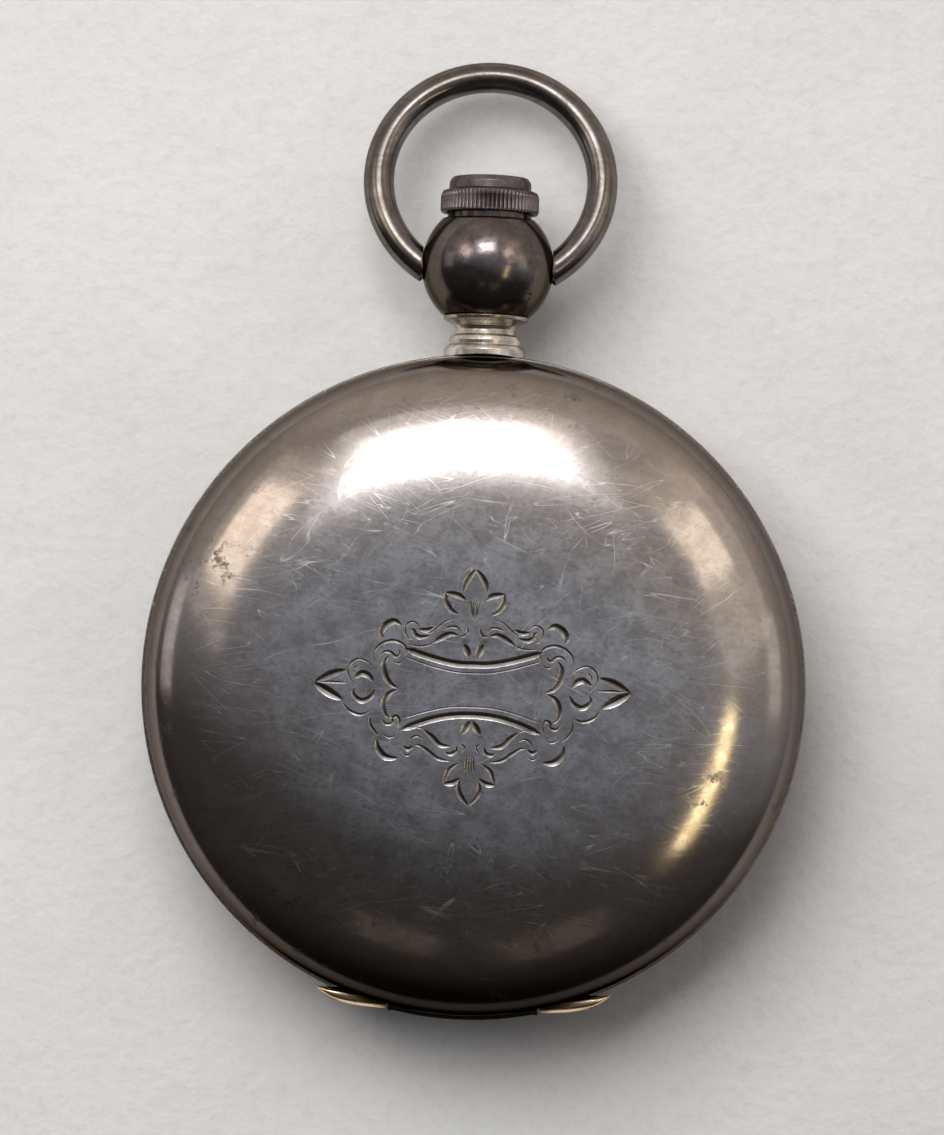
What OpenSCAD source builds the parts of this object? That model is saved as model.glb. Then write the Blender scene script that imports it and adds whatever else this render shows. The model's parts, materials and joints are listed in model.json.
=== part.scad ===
// Pocket watch with a closed front cover (hunter case), lying on its rear cover.
// Origin: centre of the flat on the rear cover. +Z through the dial, +Y through the pendant.

/* [Case] */
// Outside radius of the case band
band_r = 27.5; // [27.4:0.1:27.9]
// Height of the case band
band_h = 4.6; // [4.5:0.1:4.7]
// Thickness of the closed watch
watch_h = 17.6; // [17.4:0.1:18.2]
// Outside radius of both covers
cover_r = 27.25; // [27.15:0.05:27.3]
// Wall thickness of both covers
cover_wall = 0.55; // [0.5:0.05:0.6]
// Radius of the flat that the watch lies on
rest_r = 9; // [7:0.5:11]
// Angle to which the bow hangs below the middle plane
bow_droop = 15; // [0:5:30]

/* [Hinges] */
// Distance of both cover joints from the middle of the case
hinge_y = 26.1; // [26:0.1:26.2]
// Distance of both cover joints from the middle plane
hinge_rise = 1.3; // [1.25:0.05:1.35]
// Radius of the joint barrels
barrel_r = 0.9; // [0.8:0.05:0.9]
// Radius of the joint pins
hinge_pin_r = 0.35; // [0.3:0.05:0.4]
// Half the length of the middle knuckles
knuckle_x = 6.2; // [5.8:0.1:6.2]

/* [Pendant] */
// Distance of the ball from the middle of the case
ball_y = 35; // [34.9:0.1:35.3]
// Radius of the ball
ball_r = 5.5; // [5.4:0.1:5.6]
// Radius of the bow's ring, to the middle of its wire
bow_r = 9.33; // [9:0.1:9.8]
// Radius of the bow's wire
bow_wire_r = 1.27; // [1.1:0.05:1.4]
// Radius of the crown over its flutes
crown_r = 4.1; // [3.9:0.1:4.2]
// Number of flutes on the crown
crown_flutes = 72; // [56:4:84]

/* [Dial] */
// Radius of the dial
dial_r = 22; // [21.8:0.1:22]
// Hour shown by the hands
time_hour = 10; // [0:11]
// Minute shown by the hands
time_minute = 9; // [0:59]
// Second shown by the small hand
time_second = 36; // [0:59]

/* [Movement] */
// Radius of the pillar plate
pillar_plate_r = 22.9; // [22.7:0.1:22.9]
// Radius of the top plate
top_plate_r = 21; // [20.5:0.1:21.2]
// Radius of the balance over its rim
balance_r = 6.2; // [5.8:0.1:6.2]
// Radius of the pivots
pivot_r = 0.1; // [0.08:0.01:0.12]

/* [Hidden] */

$fn = 64;
fit = 0.01;            // a piece pressed or screwed home
run = 0.03;            // a piece that turns or slides
through = 1;           // how far a cutter runs past a face

// Heights, all from the middle plane
mid = watch_h / 2;
band_z = [mid - band_h / 2, mid + band_h / 2];
cover_gap = 0.1;
cover_z = band_z[1] + cover_gap;
rear_z = band_z[0] - cover_gap;
cover_h = watch_h - cover_z;
plate_z = [mid - 1.1, mid + 1.1];
top_z = [mid - 4.0, mid - 3.1];
dial_z = [mid + 1.8, mid + 2.6];
winding_z = [mid + 1.15, mid + 1.55];
cock_z = [mid - 5.8, mid - 5.3];

// Covers: the wall is thinner over the dome and deeper at the rim
dome_power = 3;
dome_steps = 20;
inner_cover_r = 24.9;
inner_cover_z = mid - 2.8;
inner_cover_h = 4.25;
inner_cover_wall = 0.4;
inner_joint_y = 24.3;
inner_joint_r = 0.45;

// Band section
band_wall_r = 26.2;    // inside of the outer wall
band_lip_r = 25.2;     // inside of the lips above and below
band_seat_r = 21.9;    // inside of the seat that holds the movement
band_cut_y = 25.15;    // straight cut behind the cover joints
joint_tip_r = 28.25;   // circle that trims the joint ends
end_gap = 0.2;

// Pendant
crown_y = [39.4, 41.0, 42.55];
bow_centre = sqrt(bow_r * bow_r - ball_r * ball_r);
bow_gap = 0.08;
trunnion_r = 0.6;
sleeve_r = 1.45;
sleeve_bore = 1.05;
stem_r = 1.0;
stem_square = 1.2;

// Train: places, tooth counts and tooth modules
centre_at = [0, 0];
barrel_teeth = 80;
centre_pinion_teeth = 10;
centre_teeth = 64;
third_pinion_teeth = 8;
great_module = 0.225;
third_teeth = 60;
fourth_pinion_teeth = 8;
third_module = 0.2;
fourth_teeth = 70;
escape_pinion_teeth = 7;
fourth_module = 0.16;
escape_teeth = 15;
escape_r = 3.0;
barrel_at = polar((barrel_teeth + centre_pinion_teeth) * great_module / 2, 160);
third_at = polar((centre_teeth + third_pinion_teeth) * great_module / 2, -38);
fourth_at = [11, 0];
escape_at = fourth_at + polar((fourth_teeth + escape_pinion_teeth) * fourth_module / 2, -40);
pallet_at = escape_at + polar(3.6, 228.2);
balance_at = [11.2, -10.4];

// Winding
winding_module = 0.3;
winding_pinion_teeth = 10;
crown_wheel_teeth = 24;
intermediate_teeth = 19;
ratchet_teeth = 33;
crown_wheel_at = [0, 14];
intermediate_at = meeting(crown_wheel_at, (crown_wheel_teeth + intermediate_teeth) * winding_module / 2,
                          barrel_at, (intermediate_teeth + ratchet_teeth) * winding_module / 2);
winding_pinion_y = [17.45, 20.2];
click_at = barrel_at + polar(7.3, 205);

// Motion work under the dial
motion_module = 0.25;
cannon_teeth = 10;
minute_teeth = 30;
minute_pinion_teeth = 8;
hour_teeth = 32;
minute_at = polar((cannon_teeth + minute_teeth) * motion_module / 2, -75);
cannon_z = [mid + 1.15, mid + 1.4];
minute_wheel_z = [mid + 1.15, mid + 1.3];
hour_wheel_z = [mid + 1.45, mid + 1.6];
seconds_hand_z = [mid + 2.75, mid + 2.85];
hour_hand_z = [mid + 3.0, mid + 3.15];
minute_hand_z = [mid + 3.35, mid + 3.5];
cannon_pipe_r = 0.7;
hour_pipe_r = 1.1;
seconds_dial_r = 4.6;

// Plates
pillar_angles = [20, 100, 195, 250];
pillar_ring_r = 19;
jewel_r = 0.7;
jewel_h = 0.3;
arbor_r = 0.35;
foot_at = [2.6, -16.4];
case_screw_angles = [45, 225];
case_screw_ring_r = 22.3;

// Colours
silver = "silver";
dark_silver = "dimgray";
gilt = "goldenrod";
steel = "lightsteelblue";
blued = "midnightblue";
ruby = "crimson";
enamel = "ivory";

// Geometry

function polar(r, a) = [r * cos(a), r * sin(a)];
function heading(from, to) = atan2(to[1] - from[1], to[0] - from[0]);

// The point at given distances from two others
function meeting(a, ra, b, rb) =
    let (d = norm(b - a), along = (d * d + ra * ra - rb * rb) / (2 * d),
         side = sqrt(ra * ra - along * along), u = (b - a) / d)
    a + u * along + [-u[1], u[0]] * side;

// Height of a dome above its rim
function dome(r, rim_r, h, power) = h * sqrt(max(0, 1 - pow(r / rim_r, power)));

// Section of a dome from its middle to its rim
function dome_line(rim_r, h, power, start = 0) =
    [for (i = [0:dome_steps])
        let (r = start + (rim_r - start) * sin(90 * i / dome_steps)) [r, dome(r, rim_r, h, power)]];
function reversed(list) = [for (i = [len(list) - 1:-1:0]) list[i]];
function flipped(list) = [for (p = list) [p[0], -p[1]]];

// Angle of a clock position, with twelve at -X and three at +Y
function clock(turns) = 180 - 360 * turns;

// Outline of a toothed wheel with one tooth centred on phase
tooth_top = 0.9;
tooth_root = 1.2;
tip_share = 0.1;
root_share = 0.29;
function gear_line(n, m, phase) =
    let (pitch = 360 / n, tip = n * m / 2 + tooth_top * m, root = n * m / 2 - tooth_root * m)
    [for (i = [0:n - 1]) each
        [polar(root, phase + (i - root_share) * pitch), polar(tip, phase + (i - tip_share) * pitch),
         polar(tip, phase + (i + tip_share) * pitch), polar(root, phase + (i + root_share) * pitch)]];

// Phase of a wheel whose gap takes the tooth of its neighbour in the direction a
function mesh_phase(a, neighbour_phase, neighbour_n, n) =
    a + 180 + 180 / n - (neighbour_phase - a) * neighbour_n / n;

// Flat spiral strip
function spiral_line(r0, r1, turns, half, per_turn) =
    [for (i = [0:turns * per_turn]) polar(r0 + (r1 - r0) * i / (turns * per_turn) + half, 360 * i / per_turn)];
module spiral(r0, r1, turns, thick, per_turn = 20) {
    polygon(concat(spiral_line(r0, r1, turns, thick / 2, per_turn),
                   reversed(spiral_line(r0, r1, turns, -thick / 2, per_turn))));
}

module at(p, z = 0) { translate([p[0], p[1], z]) children(); }
module disc(r, z0, z1) { translate([0, 0, z0]) cylinder(r = r, h = z1 - z0); }
module bore(r, z0, z1) { disc(r, z0 - through, z1 + through); }
module ring(r_out, r_in, z0, z1) {
    difference() {
        disc(r_out, z0, z1);
        bore(r_in, z0, z1);
    }
}
module slab(z0, z1) { translate([0, 0, z0]) linear_extrude(z1 - z0) children(); }
module along_x(y, z) { translate([0, y, z]) rotate([0, 90, 0]) children(); }
module along_y() { translate([0, 0, mid]) rotate([-90, 0, 0]) children(); }
module both_sides() {
    children();
    mirror([1, 0, 0]) children();
}
module box(x0, x1, y0, y1, z0, z1) { translate([x0, y0, z0]) cube([x1 - x0, y1 - y0, z1 - z0]); }

// Wheel with crossings, flat in the plane
module crossed_wheel(n, m, phase, hub_r, rim, spokes, spoke_w) {
    difference() {
        polygon(gear_line(n, m, phase));
        difference() {
            circle(r = n * m / 2 - tooth_root * m - rim);
            circle(r = hub_r);
            for (i = [0:spokes - 1])
                rotate(phase + i * 360 / spokes) translate([0, -spoke_w / 2]) square([n * m / 2, spoke_w]);
        }
    }
}

// Arbor with its two pivots
module arbor(r, z0, z1, pivot0, pivot1) {
    disc(r, z0, z1);
    disc(pivot_r, pivot0, pivot1);
}

// Slotted screw standing on its head, shank towards +Z
module screw(head_r, head_h, shank_r, shank_h) {
    difference() {
        disc(head_r, 0, head_h);
        box(-0.12, 0.12, -head_r - through, head_r + through, -through, head_h * 0.4);
    }
    disc(shank_r, head_h, head_h + shank_h);
}

// Case

// Cut that lets the straight joints pass the band
module joint_cut() {
    box(-14, 14, -30, -band_cut_y, band_z[0] - through, band_z[1] + through);
}

module case_band() {
    color(silver) difference() {
        band_ring();
        joint_cut();
        along_y() disc(sleeve_r + fit, 20, 30);
        // window for the nose of the lock spring
        rotate(98) box(24, 26.45, -1.2, 1.2, mid + 1, band_z[1] + through);
        for (a = case_screw_angles)
            rotate(a) translate([case_screw_ring_r, 0, 0]) bore(0.4 + fit, band_z[0], plate_z[0]);
    }
}

// Band with the straight inner wall that closes it behind the joints
module band_ring() {
    rotate_extrude() polygon([
        [band_r - 0.25, band_z[0]], [band_r, band_z[0] + 0.25], [band_r, band_z[1] - 0.25],
        [band_r - 0.25, band_z[1]], [band_lip_r, band_z[1]], [band_lip_r, band_z[1] - 0.6],
        [band_wall_r, band_z[1] - 0.9], [band_wall_r, plate_z[0]], [band_seat_r, plate_z[0]],
        [band_seat_r, plate_z[0] - 0.6], [band_lip_r, plate_z[0] - 0.8], [band_lip_r, band_z[0]]]);
    intersection() {
        disc(band_wall_r + 0.2, band_z[0], band_z[1]);
        box(-9.5, 9.5, -27, -band_cut_y + 0.6, band_z[0], band_z[1]);
    }
}

module pendant_neck() {
    color(silver) difference() {
        along_y() rotate_extrude() polygon([
            [0, 25], [3.4, 25], [3.4, 27.95], [3.25, 28.2], [2.95, 28.4], [2.95, 29.05],
            [2.6, 29.3], [2.45, 29.6], [2.65, 30.0], [3.2, 30.35], [3.45, 30.6], [3.5, 30.9], [0, 30.9]]);
        disc(band_r, 0, watch_h);
        along_y() disc(sleeve_r + fit, 20, 35);
    }
}

module pendant_ball() {
    color(silver) difference() {
        translate([0, ball_y, mid]) rotate([0, 0, 90]) sphere(r = ball_r);
        along_y() disc(ball_r, 25, 30.9);
        along_y() disc(ball_r, 38.9, 45);
        along_y() disc(sleeve_r + fit, 20, 45);
        both_sides() translate([3.5, 0, 0]) along_x(ball_y, mid) disc(trunnion_r + run, 0, 5);
    }
}

module pendant_sleeve() {
    color(steel) along_y() ring(sleeve_r, sleeve_bore, 23.5, 38.6);
}

module bow() {
    color(silver) translate([0, ball_y, mid]) rotate([-bow_droop, 0, 0]) {
        difference() {
            translate([0, bow_centre, 0]) rotate_extrude() translate([bow_r, 0]) circle(r = bow_wire_r);
            sphere(r = ball_r + bow_gap);
        }
        both_sides() translate([3.6, 0, 0]) rotate([0, 90, 0]) cylinder(r = trunnion_r, h = 2.4);
    }
}

module crown() {
    color(dark_silver) difference() {
        along_y() union() {
            intersection() {
                slab(crown_y[0], crown_y[1])
                    polygon([for (i = [0:crown_flutes - 1]) each
                        [polar(crown_r, (i - 0.22) * 360 / crown_flutes),
                         polar(crown_r, (i + 0.22) * 360 / crown_flutes),
                         polar(crown_r - 0.17, (i + 0.5) * 360 / crown_flutes)]]);
                rotate_extrude() polygon([[0, 39], [3.7, 39.4], [4.0, 39.65], [4.1, 39.9],
                                          [4.1, 40.6], [4.0, 40.8], [3.8, 41], [0, 41.2]]);
            }
            rotate_extrude() polygon([[0, 40.8], [3.45, 40.8], [3.35, 41.5], [3.2, 41.85], [2.9, 42.1],
                                      [2.3, 42.3], [2.15, 42.5], [0, crown_y[2]]]);
        }
        along_y() disc(stem_r + fit, 30, 41.2);
    }
}

module stem() {
    color(steel) along_y() {
        disc(stem_r, 21, 41.2);
        slab(17.3, 21.2) square(stem_square, center = true);
        disc(0.5, 12.2, 17.5);
    }
}

module cover_shell() {
    rotate_extrude() polygon(concat(
        dome_line(cover_r, cover_h, dome_power),
        reversed(dome_line(cover_r - 0.65, cover_h - cover_wall, dome_power))));
}

module front_cover() {
    color(silver) translate([0, 0, cover_z]) cover_shell();
}

module rear_cover() {
    rest_h = cover_h / sqrt(1 - pow(rest_r / cover_r, dome_power));
    color(silver) translate([0, 0, rear_z]) rotate_extrude() polygon(concat(
        [[0, -rear_z]], flipped(dome_line(cover_r, rest_h, dome_power, rest_r)),
        flipped(reversed(dome_line(cover_r - 0.65, cover_h - cover_wall, dome_power)))));
}

// Barrel and web that stand between the joint ends; rim is the height of the cover's edge
module knuckle(axis_z, rim) {
    difference() {
        union() {
            along_x(-hinge_y, axis_z) disc(barrel_r, -knuckle_x, knuckle_x);
            box(-knuckle_x, knuckle_x, -hinge_y - 0.9, -hinge_y + 0.35, min(axis_z, rim), max(axis_z, rim));
        }
        along_x(-hinge_y, axis_z) disc(hinge_pin_r + run, -20, 20);
    }
}

module front_cover_knuckle() {
    color(dark_silver) knuckle(mid + hinge_rise, cover_z);
}

module rear_cover_knuckle() {
    color(dark_silver) {
        knuckle(mid - hinge_rise, rear_z);
        // lip below the joint that fills the outline of the case
        difference() {
            intersection() {
                disc(27.6, rear_z, mid - hinge_rise);
                box(-knuckle_x, knuckle_x, -28, -hinge_y - 0.5, 0, watch_h);
            }
            along_x(-hinge_y, mid - hinge_rise) disc(barrel_r - 0.1, -20, 20);
        }
    }
}

// The two fixed ends of a joint, trimmed to the outline of the case
module joint_ends(axis_z) {
    both_sides() intersection() {
        difference() {
            union() {
                along_x(-hinge_y, axis_z) disc(barrel_r, knuckle_x + end_gap, 12.3);
                box(knuckle_x + end_gap, 10.9, -hinge_y, -band_cut_y, axis_z - 0.8, axis_z + 0.8);
            }
            along_x(-hinge_y, axis_z) disc(hinge_pin_r + fit, 0, 10.5);
        }
        disc(joint_tip_r, 0, watch_h);
    }
}

module front_joint_ends() { color(gilt) joint_ends(mid + hinge_rise); }
module rear_joint_ends() { color(gilt) joint_ends(mid - hinge_rise); }

module hinge_pin(axis_z) { along_x(-hinge_y, axis_z) disc(hinge_pin_r, -10.4, 10.4); }
module front_hinge_pin() { color(steel) hinge_pin(mid + hinge_rise); }
module rear_hinge_pin() { color(steel) hinge_pin(mid - hinge_rise); }

module inner_cover() {
    color(silver) {
        difference() {
            translate([0, 0, inner_cover_z]) rotate_extrude() polygon(concat(
                flipped(dome_line(inner_cover_r, inner_cover_h, 6)),
                flipped(reversed(dome_line(inner_cover_r - 0.4, inner_cover_h - inner_cover_wall, 6)))));
            box(-4.3, 4.3, -30, -23.6, 0, watch_h);
        }
        difference() {
            union() {
                along_x(-inner_joint_y, inner_cover_z) disc(inner_joint_r, -2, 2);
                box(-2, 2, -inner_joint_y, -23.3, inner_cover_z - 0.9, inner_cover_z - 0.1);
            }
            along_x(-inner_joint_y, inner_cover_z) disc(0.15 + run, -5, 5);
        }
    }
}

module inner_cover_joint() {
    color(silver) difference() {
        both_sides() union() {
            along_x(-inner_joint_y, inner_cover_z) disc(inner_joint_r, 2.1, 4);
            box(2.1, 4, -inner_joint_y - 0.4, -inner_joint_y + 0.4, inner_cover_z, band_z[0]);
        }
        along_x(-inner_joint_y, inner_cover_z) disc(0.15 + fit, -5, 5);
    }
}

module inner_cover_pin() {
    color(steel) along_x(-inner_joint_y, inner_cover_z) disc(0.15, -3.9, 3.9);
}

module bezel() {
    color(silver) rotate_extrude() polygon([
        [dial_r + 0.15, band_z[1]], [25.6, band_z[1]], [25.6, mid + 3.4], [24.9, mid + 4.1],
        [23.6, mid + 4.55], [22.3, mid + 4.55], [22.3, mid + 3.4], [21.7, mid + 3.4],
        [21.7, mid + 2.65], [dial_r + 0.15, mid + 2.65]]);
}

module crystal() {
    crystal_r = 22.28;
    sag = 1.3;
    glass = 0.8;
    color("lightblue", 0.35) translate([0, 0, mid + 3.4]) rotate_extrude() polygon(concat(
        [for (i = [0:10]) let (r = crystal_r * i / 10) [r, glass + sag * (1 - pow(i / 10, 2))]],
        [for (i = [10:-1:0]) let (r = crystal_r * i / 10) [r, sag * (1 - pow(i / 10, 2))]]));
}

// Curved strip spring against the inside of the band, with the screw tab at its far end
module band_spring(a0, a1) {
    intersection() {
        ring(25.0, 24.3, mid - 0.8, mid + 0.8);
        slab(0, watch_h) polygon([[0, 0], polar(40, a0), polar(40, (a0 + a1) / 2), polar(40, a1)]);
    }
    rotate(a1) box(24.3, 26.1, -1.4, 0, mid - 0.8, mid + 0.8);
}

module lift_spring() {
    color(steel) {
        band_spring(-113, -160);
        rotate(-114) box(24.3, 24.9, -0.6, 0.8, mid + 0.7, mid + 2.2);
    }
}

module lock_spring() {
    color(steel) {
        band_spring(95.5, 150);
        rotate(98) box(24.3, 26.1, -0.9, 0.9, mid + 0.7, mid + 2.1);
        rotate(98) box(25.7, 26.25, -0.9, 0.9, mid + 2.05, mid + 3.0);
    }
}

module case_screws() {
    color(steel) for (a = case_screw_angles)
        rotate(a) translate([case_screw_ring_r, 0, plate_z[1] + 0.4]) mirror([0, 0, 1]) screw(0.55, 0.4, 0.4, 2.7);
}

// Frame of the movement

module plate_holes(z0, z1) {
    at(centre_at) bore(0.55, z0, z1);
    for (p = [third_at, fourth_at, escape_at, pallet_at]) at(p) bore(jewel_r + fit, z0, z1);
}

module pillar_plate() {
    color(gilt) difference() {
        disc(pillar_plate_r, plate_z[0], plate_z[1]);
        plate_holes(plate_z[0], plate_z[1]);
        at(balance_at) bore(jewel_r + fit, plate_z[0], plate_z[1]);
        at(barrel_at) bore(1.25, plate_z[0], plate_z[1]);
        // room for the winding pinion and the stem
        box(-1.95, 1.95, 16.8, 20.4, plate_z[0] - through, plate_z[1] + through);
        along_y() disc(0.55, 11.4, 18);
        along_y() disc(stem_r + 0.06, 20, 30);
        // screws
        for (p = [crown_wheel_at, intermediate_at]) at(p) disc(0.4 + fit, plate_z[1] - 0.55, plate_z[1] + through);
        for (p = [click_at, minute_at]) at(p) disc(0.35 + run, plate_z[1] - 0.7, plate_z[1] + through);
        for (a = case_screw_angles) at(polar(case_screw_ring_r, a)) bore(0.4 + fit, plate_z[0], plate_z[1]);
        for (a = pillar_angles) at(polar(pillar_ring_r, a)) disc(0.5 + fit, plate_z[0] - through, plate_z[0] + 0.8);
        for (a = [60, 300]) at(polar(20, a)) disc(0.4 + fit, plate_z[1] - 0.8, plate_z[1] + through);
    }
}

module top_plate() {
    color(gilt) difference() {
        disc(top_plate_r, top_z[0], top_z[1]);
        plate_holes(top_z[0], top_z[1]);
        at(balance_at) bore(1.0, top_z[0], top_z[1]);
        at(barrel_at) bore(0.8, top_z[0], top_z[1]);
        for (a = pillar_angles) at(polar(pillar_ring_r, a)) bore(0.45 + fit, top_z[0], top_z[1]);
        at(foot_at) bore(0.5 + fit, top_z[0], top_z[1]);
    }
}

module pillars() {
    color(gilt) for (a = pillar_angles) at(polar(pillar_ring_r, a)) difference() {
        union() {
            rotate_extrude() polygon([[0, top_z[1]], [1.1, top_z[1]], [1.1, top_z[1] + 0.3], [0.85, top_z[1] + 0.6],
                                      [0.85, plate_z[0] - 0.5], [1.2, plate_z[0] - 0.2], [1.2, plate_z[0]],
                                      [0, plate_z[0]]]);
            disc(0.5, plate_z[0] - 0.1, plate_z[0] + 0.75);
        }
        disc(0.45 + fit, top_z[1] - through, top_z[1] + 1.3);
    }
}

module plate_screws() {
    color(blued) for (a = pillar_angles)
        at(polar(pillar_ring_r, a), top_z[0] - 0.45) screw(1.2, 0.45, 0.45, 2.1);
}

module balance_cock() {
    arm = heading(foot_at, balance_at);
    reach = norm(balance_at - foot_at);
    color(gilt) difference() {
        union() {
            slab(cock_z[0], cock_z[1]) {
                translate(balance_at) circle(r = 2.3);
                translate(foot_at) circle(r = 2.6);
                translate(foot_at) rotate(arm)
                    polygon([[0, -2.5], [reach, -1.4], [reach, 1.4], [0, 2.5]]);
            }
            at(foot_at) disc(2.6, cock_z[1], top_z[0]);
        }
        at(foot_at) bore(0.5 + fit, cock_z[0], top_z[0]);
        at(balance_at) bore(jewel_r + fit, cock_z[0], cock_z[1]);
    }
}

module cock_screw() {
    color(blued) at(foot_at, cock_z[0] - 0.3) screw(1.0, 0.3, 0.5, 2.6);
}

// Index that turns on the cock: ring, tail with two curb pins, and pointer
module regulator() {
    pointer = heading(balance_at, foot_at) + 60;
    color(steel) at(balance_at) {
        slab(cock_z[0] - 0.2, cock_z[0] - 0.05) difference() {
            union() {
                circle(r = 1.7);
                rotate(pointer) polygon([[1, -0.45], [5.2, -0.12], [5.2, 0.12], [1, 0.45]]);
                rotate(pointer + 180) translate([0, -0.4]) square([3.35, 0.8]);
            }
            circle(r = 1.1);
        }
        rotate(pointer + 180) for (s = [-1, 1])
            translate([2.95, 0.22 * s, 0]) disc(0.07, cock_z[0] - 0.1, cock_z[1] + 0.35);
    }
}

module jewel(z0) { ring(jewel_r, pivot_r + run, z0, z0 + jewel_h); }

module jewels() {
    color(ruby) {
        for (p = [third_at, escape_at, pallet_at, balance_at]) at(p) jewel(plate_z[0]);
        for (p = [third_at, fourth_at, escape_at, pallet_at]) at(p) jewel(top_z[1] - jewel_h);
        at(balance_at) jewel(cock_z[0]);
        at(fourth_at) ring(jewel_r, 0.25 + run, plate_z[0], plate_z[0] + jewel_h);
    }
}

// Power

barrel_z = [mid - 3.0, mid - 1.8];
drum_r = 8.3;

module mainspring_barrel() {
    phase = mesh_phase(heading(centre_at, barrel_at), 0, centre_pinion_teeth, barrel_teeth);
    color(gilt) at(barrel_at) difference() {
        union() {
            slab(barrel_z[0], barrel_z[0] + 0.4) polygon(gear_line(barrel_teeth, great_module, phase));
            disc(drum_r, barrel_z[0], barrel_z[1] - 0.2);
        }
        disc(drum_r - 0.45, barrel_z[0] + 0.25, barrel_z[1] + through);
        bore(0.7 + run, barrel_z[0], barrel_z[1]);
    }
}

module barrel_cap() {
    color(gilt) at(barrel_at) ring(drum_r, 0.9 + run, barrel_z[1] - 0.2, barrel_z[1]);
}

module barrel_arbor() {
    color(steel) at(barrel_at) {
        disc(0.7, top_z[0] + 0.05, barrel_z[0] + 0.3);
        disc(1.6, barrel_z[0] + 0.28, barrel_z[1] - 0.24);
        disc(0.9, barrel_z[1] - 0.3, plate_z[0] + 0.3);
        disc(1.2, plate_z[0] + 0.05, plate_z[1] + 0.02);
        slab(plate_z[1], winding_z[1] + 0.05) square(1.4, center = true);
    }
}

module mainspring() {
    color(blued) at(barrel_at) slab(barrel_z[0] + 0.35, barrel_z[1] - 0.3) spiral(2.0, drum_r - 0.7, 9, 0.14);
}

// Going train: wheels turn between the plates

module centre_wheel() {
    color(gilt) at(centre_at) slab(mid - 1.6, mid - 1.35)
        crossed_wheel(centre_teeth, great_module, heading(centre_at, third_at), 1.4, 0.8, 5, 0.7);
    color(steel) at(centre_at) {
        slab(mid - 3.05, mid - 2.5) polygon(gear_line(centre_pinion_teeth, great_module, 0));
        disc(0.75, mid - 3.05, plate_z[0] - 0.05);
        disc(0.5, top_z[0] + 0.1, mid - 3.0);
        disc(0.5, plate_z[0] - 0.1, minute_hand_z[0] - 0.1);
    }
}

module third_wheel() {
    to_centre = heading(centre_at, third_at);
    color(gilt) at(third_at) slab(mid - 2.25, mid - 2.05)
        crossed_wheel(third_teeth, third_module, heading(third_at, fourth_at), 1.2, 0.6, 5, 0.55);
    color(steel) at(third_at) {
        slab(mid - 1.75, mid - 1.2)
            polygon(gear_line(third_pinion_teeth, great_module,
                              mesh_phase(to_centre, to_centre, centre_teeth, third_pinion_teeth)));
        arbor(arbor_r, mid - 3.0, plate_z[0] - 0.05, top_z[1] - jewel_h, plate_z[0] + jewel_h);
    }
}

module fourth_wheel() {
    to_third = heading(third_at, fourth_at);
    color(gilt) at(fourth_at) slab(mid - 3.0, mid - 2.85)
        crossed_wheel(fourth_teeth, fourth_module, heading(fourth_at, escape_at), 1.0, 0.55, 5, 0.5);
    color(steel) at(fourth_at) {
        slab(mid - 2.4, mid - 1.9)
            polygon(gear_line(fourth_pinion_teeth, third_module,
                              mesh_phase(to_third, to_third, third_teeth, fourth_pinion_teeth)));
        disc(arbor_r, mid - 3.05, plate_z[0] - 0.05);
        disc(pivot_r, top_z[1] - jewel_h, mid - 3.0);
        // long pivot that carries the seconds hand
        disc(0.25, plate_z[0] - 0.1, seconds_hand_z[1] + 0.05);
    }
}

module escape_wheel() {
    to_fourth = heading(fourth_at, escape_at);
    color(steel) at(escape_at) {
        // club teeth that lean forward
        slab(mid - 2.65, mid - 2.45) difference() {
            polygon([for (i = [0:escape_teeth - 1]) each
                [polar(escape_r - 0.62, i * 24 - 5), polar(escape_r, i * 24 - 1.6),
                 polar(escape_r - 0.06, i * 24 + 2.6), polar(escape_r - 0.35, i * 24 + 2),
                 polar(escape_r - 0.66, i * 24 + 5)]]);
            difference() {
                circle(r = escape_r - 0.95);
                circle(r = 0.6);
                for (i = [0:3]) rotate(i * 90) translate([0, -0.16]) square([3, 0.32]);
            }
        }
        slab(mid - 3.05, mid - 2.75)
            polygon(gear_line(escape_pinion_teeth, fourth_module,
                              mesh_phase(to_fourth, to_fourth, fourth_teeth, escape_pinion_teeth)));
        arbor(0.25, mid - 3.0, plate_z[0] - 0.05, top_z[1] - jewel_h, plate_z[0] + jewel_h);
    }
}

// Escapement

to_escape = heading(pallet_at, escape_at);
to_balance = heading(pallet_at, balance_at);
stone_span = 30;       // half the angle between the stones, seen from the escape wheel
stone_r = escape_r + 0.17;

// Places the stones, seen from the escape wheel
module at_stones() {
    for (s = [-1, 1])
        at(escape_at + polar(stone_r, to_escape + 180 + s * stone_span)) rotate(to_escape + s * 62) children();
}

module pallet_fork() {
    fork = norm(balance_at - pallet_at) - 1.35;
    color(steel) {
        slab(mid - 2.65, mid - 2.45) {
            translate(pallet_at) circle(r = 0.55);
            // arms out to the stones
            difference() {
                translate(escape_at) intersection() {
                    difference() {
                        circle(r = stone_r + 0.75);
                        circle(r = stone_r + 0.16);
                    }
                    polygon([[0, 0], polar(9, to_escape + 180 - 36), polar(9, to_escape + 180),
                             polar(9, to_escape + 180 + 36)]);
                }
                at_stones() square([1.3, 0.36], center = true);
            }
            // lever with its fork
            translate(pallet_at) rotate(to_balance) difference() {
                polygon([[0, -0.4], [fork * 0.6, -0.22], [fork * 0.75, -0.5], [fork, -0.55],
                         [fork, 0.55], [fork * 0.75, 0.5], [fork * 0.6, 0.22], [0, 0.4]]);
                translate([fork * 0.8, -0.2]) square([1, 0.4]);
            }
        }
        at(pallet_at) arbor(0.22, mid - 3.0, plate_z[0] - 0.05, top_z[1] - jewel_h, plate_z[0] + jewel_h);
    }
}

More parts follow.
